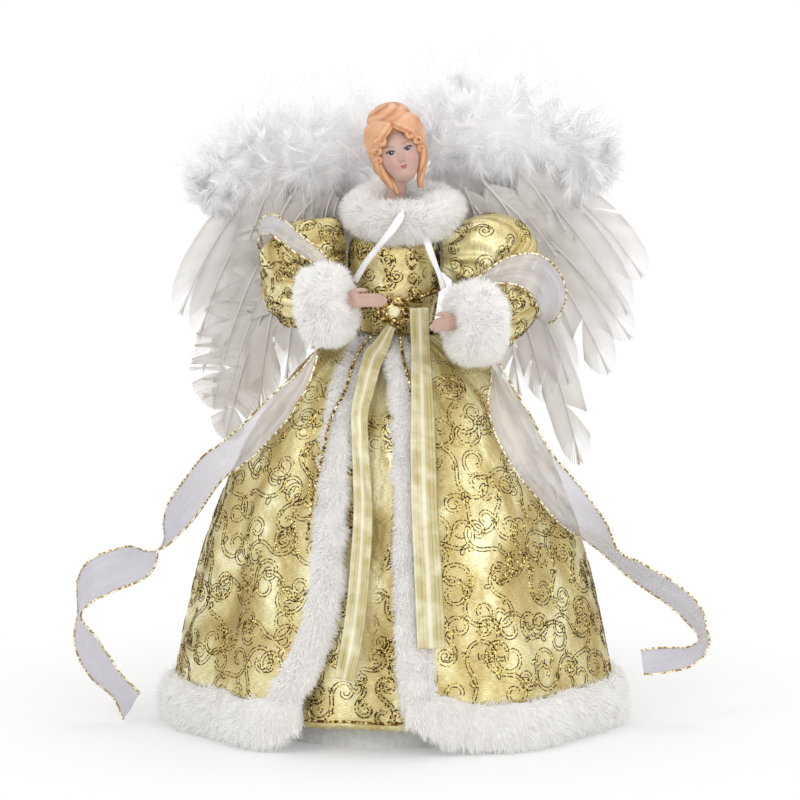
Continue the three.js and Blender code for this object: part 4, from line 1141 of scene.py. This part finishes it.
bisque = bisque_finish("bisque")
OFF_FACE = 30  # a place that no painted feature reaches
points, faces, face_x, face_z = joined([
    (place_head(face_points), face_faces,
     np.where(face_points[:, 1] > -2, OFF_FACE, face_points[:, 0]), face_points[:, 2]),
    (neck_points, neck_faces, *np.full((2, len(neck_points)), float(OFF_FACE)))])
head = mesh_piece("head_bisque", points, faces, bisque_finish("painted_bisque", painted=True),
                  "figure", "bisque", values={"face_x": face_x, "face_z": face_z})
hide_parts("head")


def hair_finish():
    hair, shader, place = finish("glazed_hair", Roughness=0.32)
    # Darker in the grooves and lighter on the ridges: painted shade of the moulded relief, mixed with a
    # random tone
    tone = place.attribute("groove") * 0.45 + place.noise(130, 3) * 0.7 - 0.05
    dress(shader, Normal=place.noise(700, 2).bump(0.25, 0.0004), Base_Color=tone.ramp(
        (0.05, tint(140, 84, 48)), (0.42, tint(198, 138, 96)), (0.85, tint(226, 178, 140))))
    return hair


def lock(way, strands, twist, rows):
    """A moulded lock of hair along [x, y, z, radius] stations: points, faces and groove tone, which is
    low in the grooves and darkens them as painted shade.
    """
    share = np.linspace(0, 1, rows)
    place = spline(way, share)
    along = unit(np.gradient(place[:, :3], axis=0))
    across = unit(np.cross(along, unit(place[:, :3])))
    up = np.cross(across, along)
    a = circle(42)
    ridge = np.abs(np.cos(0.5 * strands * a + twist * 2 * math.pi * share[:, None]))
    r = place[:, 3, None] * (0.92 + 0.09 * ridge)
    rings = (place[:, None, :3] + (r * np.cos(a))[..., None] * across[:, None]
             + (0.8 * r * np.sin(a))[..., None] * up[:, None])
    return *closed_tube(rings), np.concatenate([ridge.ravel(), [0.4, 0.4]])


hair_parts = []
shell, bun = ball_grid(120, 90), ball_grid(110, 70)
comb = np.abs(np.cos(
    17 * np.arctan2(shell[..., 0], -shell[..., 1]) + 3 * np.sin(3 * shell[..., 2])))
coil = np.abs(np.cos(2 * np.arctan2(bun[..., 0], -bun[..., 1]) + 4 * np.arccos(bun[..., 2])))
for ball, size, depth, groove, middle in (
        (shell, (15.6, 14.6, 17.6), 0.4, comb, (0, 4.6, 5)),
        (shell, (14.6, 10, 13), 0.4, comb, (0, 6.4, -7)),
        (bun, (13.2, 11, 8.8), 0.35, coil, (0.2, 4.2, 18.6))):
    hair_parts.append((*closed_tube(ball * (size + depth * groove[..., None]) + middle),
                       np.concatenate([groove.ravel(), [0.5, 0.5]])))
for side in (-1, 1):
    for k in range(6):
        hair_parts.append(lock([
            [side * (0.4 + 0.3 * k), -7.5 + 1.7 * k, 17.2 + 0.5 * k, 2.0],
            [side * (3.6 + 1.5 * k), -11.6 + 1.5 * k, 16.2 + 0.35 * k, 3.3],
            [side * (8.2 + 1.35 * k), -10.9 + 1.7 * k, 12.6 + 0.1 * k, 3.7],
            [side * (11.6 + 0.75 * k), -8.2 + 1.9 * k, 7.2 - 1.6 * k, 3.2],
            [side * (12.4 + 0.3 * k), -6.4 + 1.9 * k, 2.4 - 2.6 * k, 1.8]],
            strands=4, twist=0.35 * side, rows=50))
for side in (-1, 1):
    for turns, at, r in ((1.1, (9.2, -11.8, 9.4), 3.2), (0.9, (12.4, -8.4, 3.6), 2.7),
                         (0.8, (13.2, -6.2, -2.4), 2.3)):
        t = np.linspace(0, 1, 9)
        swirl = 2 * math.pi * turns * t
        way = np.stack([
            at[0] + r * (1 - 0.75 * t) * np.cos(swirl), at[1] - 1.2 * t,
            at[2] + r * (1 - 0.75 * t) * np.sin(swirl), 2.0 - 0.6 * t], -1)
        hair_parts.append(lock(way * [side, 1, 1, 1], strands=4, twist=1.5, rows=40))
    hair_parts.append(lock(np.array([
        [12, -5.4, 4, 2], [14, -4.4, -2, 3.3], [13, -3.8, -9, 3.4], [10.4, -3.2, -15.5, 3.2],
        [8, -3.2, -21.5, 2.8], [7, -3.8, -26, 1.7]]) * [side, 1, 1, 1], strands=4, twist=1.1, rows=64))
    hair_parts.append(lock(np.array([
        [13, 0, 2, 2], [14.6, 1.5, -6, 3.6], [12.2, 2, -14, 3.6], [9.6, 1, -20, 2.8],
        [8, 0, -25, 1.6]]) * [side, 1, 1, 1], strands=5, twist=1.2, rows=56))
points, faces, groove = joined(hair_parts)
mesh_piece("hair_moulded", place_head(points), faces, hair_finish(), "figure", "bisque",
           values={"groove": groove})


# The hands: bisque, cast with the fingers nearly together and the thumb apart, on the arm wires.
def remeshed(piece, cell, smooth_rounds):
    """Melts a piece's crossing solids into one skin and smooths it."""
    bpy.context.view_layer.objects.active = piece
    melt = piece.modifiers.new("melt", "REMESH")
    melt.mode = "VOXEL"
    melt.voxel_size = cell * MM
    melt.use_smooth_shade = True
    ease = piece.modifiers.new("ease", "SMOOTH")
    ease.iterations = smooth_rounds
    ease.factor = 0.5
    for modifier in ("melt", "ease"):
        bpy.ops.object.modifier_apply(modifier=modifier)


for side, sign in (("left", -1), ("right", 1)):
    middle, out, across, up = cuff_frame(side)
    length = np.linalg.norm(np.array(CUFFS[side][1]) - np.array(CUFFS[side][0]))
    inwards = across * sign

    def at(a, b, c):
        """A point of the hand: along it, towards the body, and up."""
        return middle + out * a + inwards * b + up * c

    ways = [[(*at(-12, 0, 0), 4.1), (*at(6, 0, 0), 3.8), (*at(11, 0, 0), 3.3), (*at(14, 0, 0.2), 3.9),
             (*at(18, 0.2, 0.2), 4.1), (*at(21, 0.2, -0.2), 3.5)]]
    for spread, reach, drop in ((-2.7, -1.5, 3.6), (-0.9, 1.5, 2.8), (0.9, 2.5, 2), (2.6, 0, 1.2)):
        ways.append([(*at(16, 0.4, spread), 1.55), (*at(21, -0.4, spread), 1.5),
                     (*at(length * 0.62 + 9, -1.0, spread * 0.8 - drop * 0.5), 1.3),
                     (*at(length + reach, 0.6, spread * 0.45 - drop), 0.95)])
    ways.append([(*at(13, 0, 2.8), 1.9), (*at(17, -0.4, 5.2), 1.6), (*at(21.5, -1, 6.2), 1.3),
                 (*at(26, -1.2, 5.4), 0.95)])
    rounded = np.array([1 - k * k for k in (0.97, 0.75, 0.4)]) ** 0.5
    a = circle(18)
    parts = []
    for way in ways:
        place = spline(way, np.linspace(0, 1, 22))
        place[:3, 3] *= rounded
        place[-3:, 3] *= rounded[::-1]
        flat = 0.62 if way is ways[0] else 0.95
        parts.append(closed_tube(place[:, None, :3] + place[:, 3, None, None] * (
            np.cos(a)[:, None] * up * 1.08 + flat * np.sin(a)[:, None] * inwards)))
    hand = mesh_piece(f"bisque_hand_{side}", *joined(parts), bisque, f"arm_{side}", "bisque")
    remeshed(hand, cell=0.42, smooth_rounds=5)
    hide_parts(f"hand_{side}")


# The brooch: a scalloped plate of gilt metal with wire petals, rows of grains and a collar that
# holds a round stone. A braid of gold cord runs from it round the bodice, and two gold cords
# wound about each other edge the underskirt's hem.
def gilt_finish():
    gilt, shader, place = finish("gilt_metal", Metallic=0.95, Roughness=0.28)
    # This speckle gives the gilt a fine relief, and in the colour its pale points are painted glints
    # and its dark points painted shade, over the gilt's own bronze-gold
    relief_glints_and_shade = place.noise(420, 3)
    dress(shader, Normal=relief_glints_and_shade.bump(0.3, 0.0003), Base_Color=relief_glints_and_shade.ramp(
        (0.4, tint(84, 60, 24)), (0.53, tint(180, 148, 78)), (0.64, tint(254, 240, 188))))
    return gilt


def tube(way, radius, sides=8, closed=False):
    """Points and faces of a round wire of one radius along a dense row of points."""
    along = unit(np.roll(way, -1, 0) - np.roll(way, 1, 0) if closed else np.gradient(way, axis=0))
    side = unit(np.cross(along, np.where(np.abs(along[:, 1:2]) > 0.9, [[1, 0, 0]], [[0, 1, 0]])))
    a = circle(sides)
    rings = way[:, None] + radius * (np.cos(a)[:, None] * side[:, None]
                                     + np.sin(a)[:, None] * np.cross(along, side)[:, None])
    return closed_tube(rings, closed)


def grains(places, radius):
    """Small balls at the given places, each as points and faces."""
    bpy.ops.mesh.primitive_ico_sphere_add(subdivisions=2, radius=radius)
    ball = bpy.context.object
    points = np.array([v.co for v in ball.data.vertices])
    faces = np.array([p.vertices for p in ball.data.polygons])
    bpy.data.objects.remove(ball)
    return [(points + place, [faces]) for place in places]


gilt = gilt_finish()
BROOCH_Y, BROOCH_Z, BROOCH_R, BROOCH_TALL = -29.6, 252.5, 10.2, 0.86


def on_brooch(x, z, out):
    """A point of the brooch: across and up in its plate, which is a little flattened, and out."""
    x, z, out = np.broadcast_arrays(x, z, out)
    return np.stack([x, BROOCH_Y - out, BROOCH_Z + BROOCH_TALL * z], -1)


bpy.ops.mesh.primitive_cylinder_add(vertices=60, radius=BROOCH_R * MM, depth=1.3 * MM)
plate = bpy.context.object
bpy.ops.object.mode_set(mode="EDIT")
bpy.ops.mesh.select_all(action="DESELECT")
bpy.ops.object.mode_set(mode="OBJECT")
for polygon in plate.data.polygons:
    polygon.select = polygon.normal.z > 0.9
bpy.ops.object.mode_set(mode="EDIT")
bpy.ops.mesh.inset(thickness=1.6 * MM, depth=0.5 * MM)
bpy.ops.mesh.inset(thickness=2.2 * MM, depth=-0.4 * MM)
bpy.ops.object.mode_set(mode="OBJECT")
for vertex in plate.data.vertices:
    x, y, z = vertex.co
    around = math.atan2(y, x)
    scallop = 1 + 0.11 * math.cos(10 * around) * min(1, math.hypot(x, y) / (8 * MM))
    vertex.co = (
        x * scallop, (BROOCH_Y + 1) * MM - z, BROOCH_TALL * y * scallop + BROOCH_Z * MM)
plate.data.flip_normals()
soft_edge = plate.modifiers.new("soft_edge", "BEVEL")
soft_edge.width = 0.25 * MM
soft_edge.segments = 2
soft_edge.limit_method = "ANGLE"
bpy.ops.object.modifier_apply(modifier="soft_edge")
plate.name = "brooch_plate"
plate.data.materials.append(gilt)
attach(plate, "figure")
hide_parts("brooch_mount")

t = circle(30)
wires = [tube(on_brooch(4.6 * np.cos(t), 4.6 * np.sin(t), 1.1), 0.65, closed=True)]
for k in range(10):
    a = 2 * math.pi * k / 10
    r, wide = 8.3 - 2.7 * np.cos(t), 1.75 * np.sin(t) * (1 - 0.3 * np.cos(t))
    x, z = r * math.cos(a) - wide * math.sin(a), r * math.sin(a) + wide * math.cos(a)
    wires.append(tube(on_brooch(x, z, 0.6 + 0.3 * np.cos(t)), 0.36, sides=6, closed=True))
    wires += grains([on_brooch(8.1 * math.cos(a), 8.1 * math.sin(a), 0.6)], 0.85)
    a += math.pi / 10
    wires += grains([on_brooch(9.6 * math.cos(a), 9.6 * math.sin(a), 0.5)], 0.75)
wires += grains([on_brooch(6.6 * math.cos(a), 6.6 * math.sin(a), 0.7)
                 for a in circle(26)], 0.5)
for k in range(3):
    a = circle(300)
    phase = 24 * a + 2 * math.pi * k / 3
    belt_z = 257 + 5.5 * np.sin(a) + 1.25 * np.sin(phase)
    belt_r = 27.6 + 0.55 * np.sin(2 * phase)
    wires.append(tube(np.stack([belt_r * np.sin(a), -belt_r * np.cos(a), belt_z], -1), 0.5,
                      sides=6, closed=True))
mesh_piece("brooch_filigree", *joined(wires), gilt, "figure", "gold_trim")
a = circle(1600)
hem_cords = [tube(underskirt_surface(a, 0.985, 1.1) + np.stack([
    0.5 * np.cos(150 * a + phase) * np.sin(a), -0.5 * np.cos(150 * a + phase) * np.cos(a),
    0.5 * np.sin(150 * a + phase)], -1), 0.5, sides=5, closed=True) for phase in (0, math.pi)]
mesh_piece("underskirt_cord", *joined(hem_cords), gilt, "figure", "gold_trim")

glass, glass_shader, glass_place = finish(
    "champagne_stone", Roughness=0.06, Coat_Weight=0.6, Coat_Roughness=0.03)
dress(glass_shader, Base_Color=mixed(
    glass_place.noise(160, 1), tint(226, 208, 150), tint(252, 248, 226)))
bpy.ops.mesh.primitive_uv_sphere_add(segments=16, ring_count=12, radius=4 * MM)
stone = bpy.context.object
bpy.ops.object.mode_set(mode="EDIT")
bpy.ops.mesh.select_all(action="SELECT")
bpy.ops.mesh.bisect(plane_co=(0, 0, -0.2 * MM), plane_no=(0, 0, 1), clear_inner=True, use_fill=True)
bpy.ops.mesh.select_all(action="SELECT")
bpy.ops.mesh.bisect(plane_co=(0, 0, 3.3 * MM), plane_no=(0, 0, 1), clear_outer=True, use_fill=True)
bpy.ops.object.mode_set(mode="OBJECT")
for vertex in stone.data.vertices:
    x, y, z = vertex.co
    vertex.co = (x, (BROOCH_Y - 0.3) * MM - 0.78 * z, y + BROOCH_Z * MM)
stone.data.flip_normals()
stone.name = "brooch_gem"
stone.data.materials.append(glass)
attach(stone, "figure")
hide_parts("brooch_stone")


# The bead strings: gilt beads threaded close together, hung from the brooch over the plush.
BEAD_PITCH = 2.9
BEADS = {
    "left": ((-6.6, -31, 243.9), [
        [0.02, 0.35, 9], [0.1, 0.4, 8.9], [0.2, 0.5, 8.8], [0.3, -0.05, 8.7], [0.4, -0.45, 7.8],
        [0.5, -1.05, 5], [0.6, -1.25, 3.4]]),
    "right": ((3.5, -31, 243.9), [[0.03, 0.26, 8.6], [0.1, 0.31, 8.3], [0.16, 0.4, 8.1],
                                  [0.235, 0.48, 8]]),
}
for side, (start, hung) in BEADS.items():
    stations = [start] + [coat_point(s, band_edge(s, side, share), above + 0.6)
                          for s, share, above in hung]
    way = spline(stations, np.linspace(0, 1, 600))
    length = lengths_to(way)
    count = int(length[-1] / BEAD_PITCH)
    places = np.stack([np.interp((np.arange(count) + 0.5) * BEAD_PITCH, length, way[:, k])
                       for k in range(3)], -1)
    strung = grains(places, 1.25) + [tube(way[::12], 0.3, sides=6)]
    beads = mesh_piece(f"beads_{side}", *joined(strung), gilt, "figure", "gold_trim")
    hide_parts(f"bead_string_{side}")


# The ribbons: two satin tails pinned under the brooch, woven with a white middle and gold stripes
# and with tiny loops along their edges, and two white satin straps under the collar.
def satin_finish():
    satin, shader, place = finish("striped_satin", Roughness=0.3, Sheen_Weight=0.2)
    across = place.node("UVMap").part("X")
    line, cream, pale = tint(146, 124, 56), tint(186, 174, 122), tint(216, 210, 180)
    black, white = (0, 0, 0, 1), (1, 1, 1, 1)
    stripe = across.ramp(
        (0.0, line), (0.04, cream), (0.12, cream), (0.14, line), (0.16, cream), (0.26, cream),
        (0.28, line), (0.3, cream), (0.4, cream), (0.46, pale), (0.56, pale), (0.6, cream),
        (0.72, cream), (0.745, line), (0.77, cream), (0.9, cream), (0.96, pale), (1.0, line))
    gold = across.ramp((0.11, black), (0.14, white), (0.17, black), (0.72, black), (0.745, white),
                       (0.77, black))
    # The near-white patches laid by noise over the stripes are painted highlights of the satin's sheen
    dress(shader, Base_Color=mixed(place.noise(90, 2) * 1.5 - 0.62, stripe, tint(248, 246, 222)),
          Metallic=gold * 0.6 * place.noise(1500, 1))
    return satin


def ribbon_grid(stations, widths, steps, cells, picot=0.0, ripple=0.0):
    """A ribbon along [x, y, z, twist] stations; at a twist of 0 degrees it faces the front."""
    share = np.linspace(0, 1, steps + 1)
    place = spline(stations, share)
    way = place[:, :3]
    along = unit(np.gradient(way, axis=0))
    flat = unit(np.cross([0, 1, 0], along))
    deep = np.cross(along, flat)
    a = np.radians(place[:, 3:])
    across = flat * np.cos(a) + deep * np.sin(a)
    length = lengths_to(way)
    width = stops(np.stack([np.linspace(0, 1, len(widths)), widths], -1), share)
    width = width + picot * np.abs(np.sin(math.pi * length / 2.6))
    q = np.linspace(-0.5, 0.5, cells + 1)
    grid = way[:, None] + (width[:, None] * q)[..., None] * across[:, None]
    wave = ripple * np.sin(length[:, None] / 9 + 2.4 * q) * np.cos(5.2 * q + length[:, None] / 23)
    grid = grid + wave[..., None] * np.cross(across, along)[:, None]
    uv = np.stack(np.broadcast_arrays(q + 0.5, length[:, None] / 100), -1)
    return grid, uv, float(length[-1])


satin = satin_finish()
TAILS = {
    "left": ([5, 12, 11, 10, 11, 12, 12], (-1.5, -31.8, 244), [
        [-8, 0.03, 9.2], [-12.6, 0.09, 9], [-17.2, 0.2, 8.8], [-20, 0.27, 8.4], [-20, 0.36, 5.6],
        [-18.2, 0.52, 4], [-20, 0.65, 4], [-23.5, 0.77, 4], [-29.5, 0.875, 4]]),
    "right": ([11.6, 12.4, 13.4, 15, 16, 17], (15, -34, 255.5), [
        [15.5, 0.04, 10.6], [16, 0.12, 10.6], [16.5, 0.2, 10.6], [17, 0.3, 9.6], [17.3, 0.4, 9],
        [18, 0.52, 8.8], [20, 0.66, 8.6], [22, 0.81, 8.6]]),
}
for side, (widths, top, hung) in TAILS.items():
    stations = []
    for x, s, above in hung:
        angle = math.asin(x / (bezier(COAT_PROFILE, s)[0] + above))
        stations.append([*coat_point(s, angle, above + 0.8), -1.15 * math.degrees(angle)])
    stations.insert(0, [*top, stations[0][3]])
    grid, uv, length = ribbon_grid(stations, widths, 330, 14, picot=0.7, ripple=0.5)
    tail, _ = cloth(f"satin_{side}", grid, satin, "figure", "gold_satin", thick=0.35, uv=uv)
    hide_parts(f"satin_tail_{side}")
    length * MM * 1.01

strap, strap_shader, strap_place = finish("white_satin_strap", Roughness=0.34, Sheen_Weight=0.3)
creases = strap_place.noise(380, 3)
# The creases also colour the strap, lighter where raised and darker in the hollows: painted shade
dress(strap_shader, Base_Color=mixed(creases, tint(236, 232, 234), tint(254, 253, 254)),
      Normal=creases.bump(0.35, 0.0006))
TIES = {
    "left": [[5, -33, 315], [4.5, -39, 312], [0, -41.5, 305], [-6, -38.5, 297], [-11, -32.5, 290],
             [-16, -29, 283], [-20, -25.5, 276], [-23, -22.5, 270]],
    "right": [[19, -27, 297], [21.5, -27, 289], [24.5, -26.6, 281], [27.5, -26, 273], [29.5, -26, 266]],
}
for side, stations in TIES.items():
    share = np.linspace(0, 1, 60)
    way = spline(stations, share)
    along = unit(np.gradient(way, axis=0))
    across = np.cross(along, unit(way * [1, 1, 0]))
    a, share = circle(28), share[:, None]
    pleat = 1 + 0.13 * np.cos(5 * a + 4 * share) + 0.06 * np.cos(9 * a)
    wide = (2.0 + 0.3 * np.sin(7 * share)) * pleat
    rings = (way[:, None] + (wide * np.cos(a))[..., None] * across[:, None]
             + (0.55 * wide * np.sin(a))[..., None] * np.cross(across, along)[:, None])
    tie = mesh_piece(f"strap_{side}", *closed_tube(rings), strap, "figure", "white_satin")
    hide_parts(f"collar_tie_{side}")


# The shawl: a strip of sheer organza with a wire and a gold-dotted cord in each edge, which hold
# its curves. It lies over both elbows; its ends trail out to the sides.
def organza_finish():
    organza, shader, place = finish("sheer_organza", Roughness=0.5, Sheen_Weight=0.35)
    weave = place.node("UVMap").stretched(5, 1.5, 1).noise(1, 3)
    free = place.part("X").math("ABSOLUTE").ranged(0.05, 0.13)
    lit = mixed(weave, tint(208, 203, 204), tint(250, 248, 247))
    shaded = mixed(weave, tint(150, 147, 158), tint(222, 219, 230))
    dress(shader, Base_Color=mixed(free, lit, shaded), Alpha=weave * 0.5 + free * 0.16 + 0.12)
    return organza


def dotted_finish():
    dotted, shader, place = finish("gold_dotted_edge", Roughness=0.35)
    dots = place.noise(620, 0).ranged(0.44, 0.56)
    dress(shader, Base_Color=mixed(dots, tint(158, 124, 56), tint(250, 244, 216)),
          Metallic=(1 - dots) * 0.6)
    return dotted


organza = organza_finish()
dotted_edge = dotted_finish()


def shawl_piece(name, widths, stations, body, node, rests_on, held):
    grid, uv, length = ribbon_grid(stations, widths, 200, 10, ripple=1.1)
    piece, _ = cloth(name, grid, organza, body, "organza", thick=0.25, uv=uv)
    edges = [tube(grid[:, k], 0.62, sides=6) for k in (0, -1)]
    edging = mesh_piece(f"{name}_edges", *joined(edges), dotted_edge, body, "organza")
    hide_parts(node)
    width = sum(widths) / len(widths)
    width * MM
    length * MM * 1.02


TRAILS = {
    "left": ([5, 8, 11, 14, 17, 18, 18, 18, 18, 19, 21, 23, 24, 24, 24, 24, 24, 24, 24, 24], [
        [-45.6, -52, 232.7, 60], [-50.4, -56, 223.7, 45], [-56.4, -58, 213, 25],
        [-63, -57, 205.6, 10], [-69, -54, 197.8, 0], [-76.8, -49, 188.3, 0],
        [-87.6, -43, 176.3, 0], [-98.4, -34, 165.6, 5], [-108.6, -27, 157, 10],
        [-124, -13, 134, 25], [-135, -6, 116, 60], [-142, -4, 103, 95], [-155, -8, 96, 35],
        [-174, -14, 90, 20], [-185, -14, 80, 60], [-189, -12, 66, 85], [-186, -14, 49, 50],
        [-176, -20, 34, 35], [-165, -26, 22, 48], [-157, -33, 13, 36]]),
    "right": ([7, 18, 23, 24, 24, 24, 24, 22, 20, 20, 20, 20, 20, 20, 15], [
        [58, -42, 228, 60], [62, -52, 214, 50], [66, -56, 201, 30], [73, -57, 184, 0],
        [84, -58, 165, 0], [99, -52, 146, 0], [113, -40, 127, 20], [126, -24, 109, 60],
        [142, -12, 94, 48], [163, -10, 80, 38], [180, -12, 65, 52], [186, -17, 52, 78],
        [178, -23, 43, 66], [163, -27, 40, 52], [149, -29, 39, 22]]),
}
LOOPS = {
    "left": ([5, 9, 10.5, 11, 12, 12, 12, 10.5], [
        [-38, -41, 280, 0], [-47, -34, 287, 0], [-57, -27, 293, 0], [-66, -19, 299, 10],
        [-73, -10, 302, 35], [-79, 0, 299, 70], [-81, 9, 291, 90], [-79, 15, 282, 90]]),
    "right": ([3, 12, 18, 23, 24, 22, 14, 8], [
        [50, -40, 273, 0], [62, -40, 277, 0], [73, -39, 279, -10], [82, -36, 277, -20],
        [90, -31, 270, -30], [94, -25, 260, -30], [93, -17, 250, -25], [89, -8, 243, -20]]),
}
for side in ("left", "right"):
    shawl_piece(f"trail_{side}", *TRAILS[side], "figure", f"shawl_trail_{side}",
                [f"cuff_plush_{side}"], "hung")
    shawl_piece(f"loop_{side}", *LOOPS[side], f"arm_{side}", f"shawl_loop_{side}",
                [f"sleeve_{side}"], "draped")


# The carrier: a white card cone with a smooth plastic torso form on it, the brackets and wires of
# the wings and arms, and inside the cone the battery box, its cells, the bulbs and their wire.
def plain_finish(name, light, dark, roughness, grain_scale, bump_height, **fixed):
    """A material of two close tones, with a fine relief of its own."""
    material, shader, place = finish(name, Roughness=roughness, **fixed)
    speckle = place.noise(grain_scale, 4)
    dress(shader, Base_Color=mixed(speckle.ranged(0.3, 0.7), dark, light),
          Normal=speckle.bump(0.4, bump_height))
    return material


def paint(material, *nodes):
    """Gives nodes that are kept from the CAD a material."""
    for node in nodes:
        mesh = bpy.data.objects[node].data
        mesh.materials.clear()
        mesh.materials.append(material)


paint(plain_finish("white_card", tint(246, 245, 242), tint(228, 226, 221), 0.75, 300, 0.0003),
      "skirt_cone", "wing_card_left", "wing_card_right")
paint(plain_finish("moulded_white", tint(240, 240, 238), tint(230, 230, 228), 0.4, 900, 0.0001),
      "torso_form", "wing_bracket", "switch_knob")
paint(plain_finish("drawn_wire", tint(196, 196, 198), tint(150, 150, 154), 0.32, 1500, 0.0001,
                   Metallic=0.9),
      "wing_wire_left", "wing_wire_right", "arm_wire_left", "arm_wire_right")
paint(plain_finish("sparked_black", tint(44, 44, 46), tint(26, 26, 28), 0.5, 1800, 0.0002),
      "battery_box", "battery_door")
paint(plain_finish("grey_foam", tint(150, 150, 152), tint(92, 92, 96), 0.95, 800, 0.0009),
      "foam_wedge")
paint(plain_finish("wire_sleeve", tint(236, 236, 232), tint(220, 220, 214), 0.45, 500, 0.0001),
      "led_wire")

cell, cell_shader, cell_place = finish("cell_jacket", Metallic=0.5, Roughness=0.35)
jacket = cell_place.part("Z").ramp(
    (0.0205, tint(205, 205, 208)), (0.021, tint(92, 104, 116)), (0.0662, tint(92, 104, 116)),
    (0.0667, tint(205, 205, 208)))
brushed = cell_place.stretched(900, 900, 30).noise(1, 2)
dress(cell_shader, Base_Color=mixed(brushed * 0.3, jacket, tint(235, 235, 235)))
paint(cell, "battery_1", "battery_2")

bulb, bulb_shader, bulb_place = finish("warm_bulb", Roughness=0.15, Emission_Strength=0.6)
veins = bulb_place.noise(500, 1)
dress(bulb_shader, Base_Color=mixed(veins, tint(255, 226, 160), tint(255, 240, 206)),
      Emission_Color=mixed(veins, tint(255, 196, 110), tint(255, 220, 150)))
paint(bulb, *[f"led_{k}" for k in range(1, 7)])
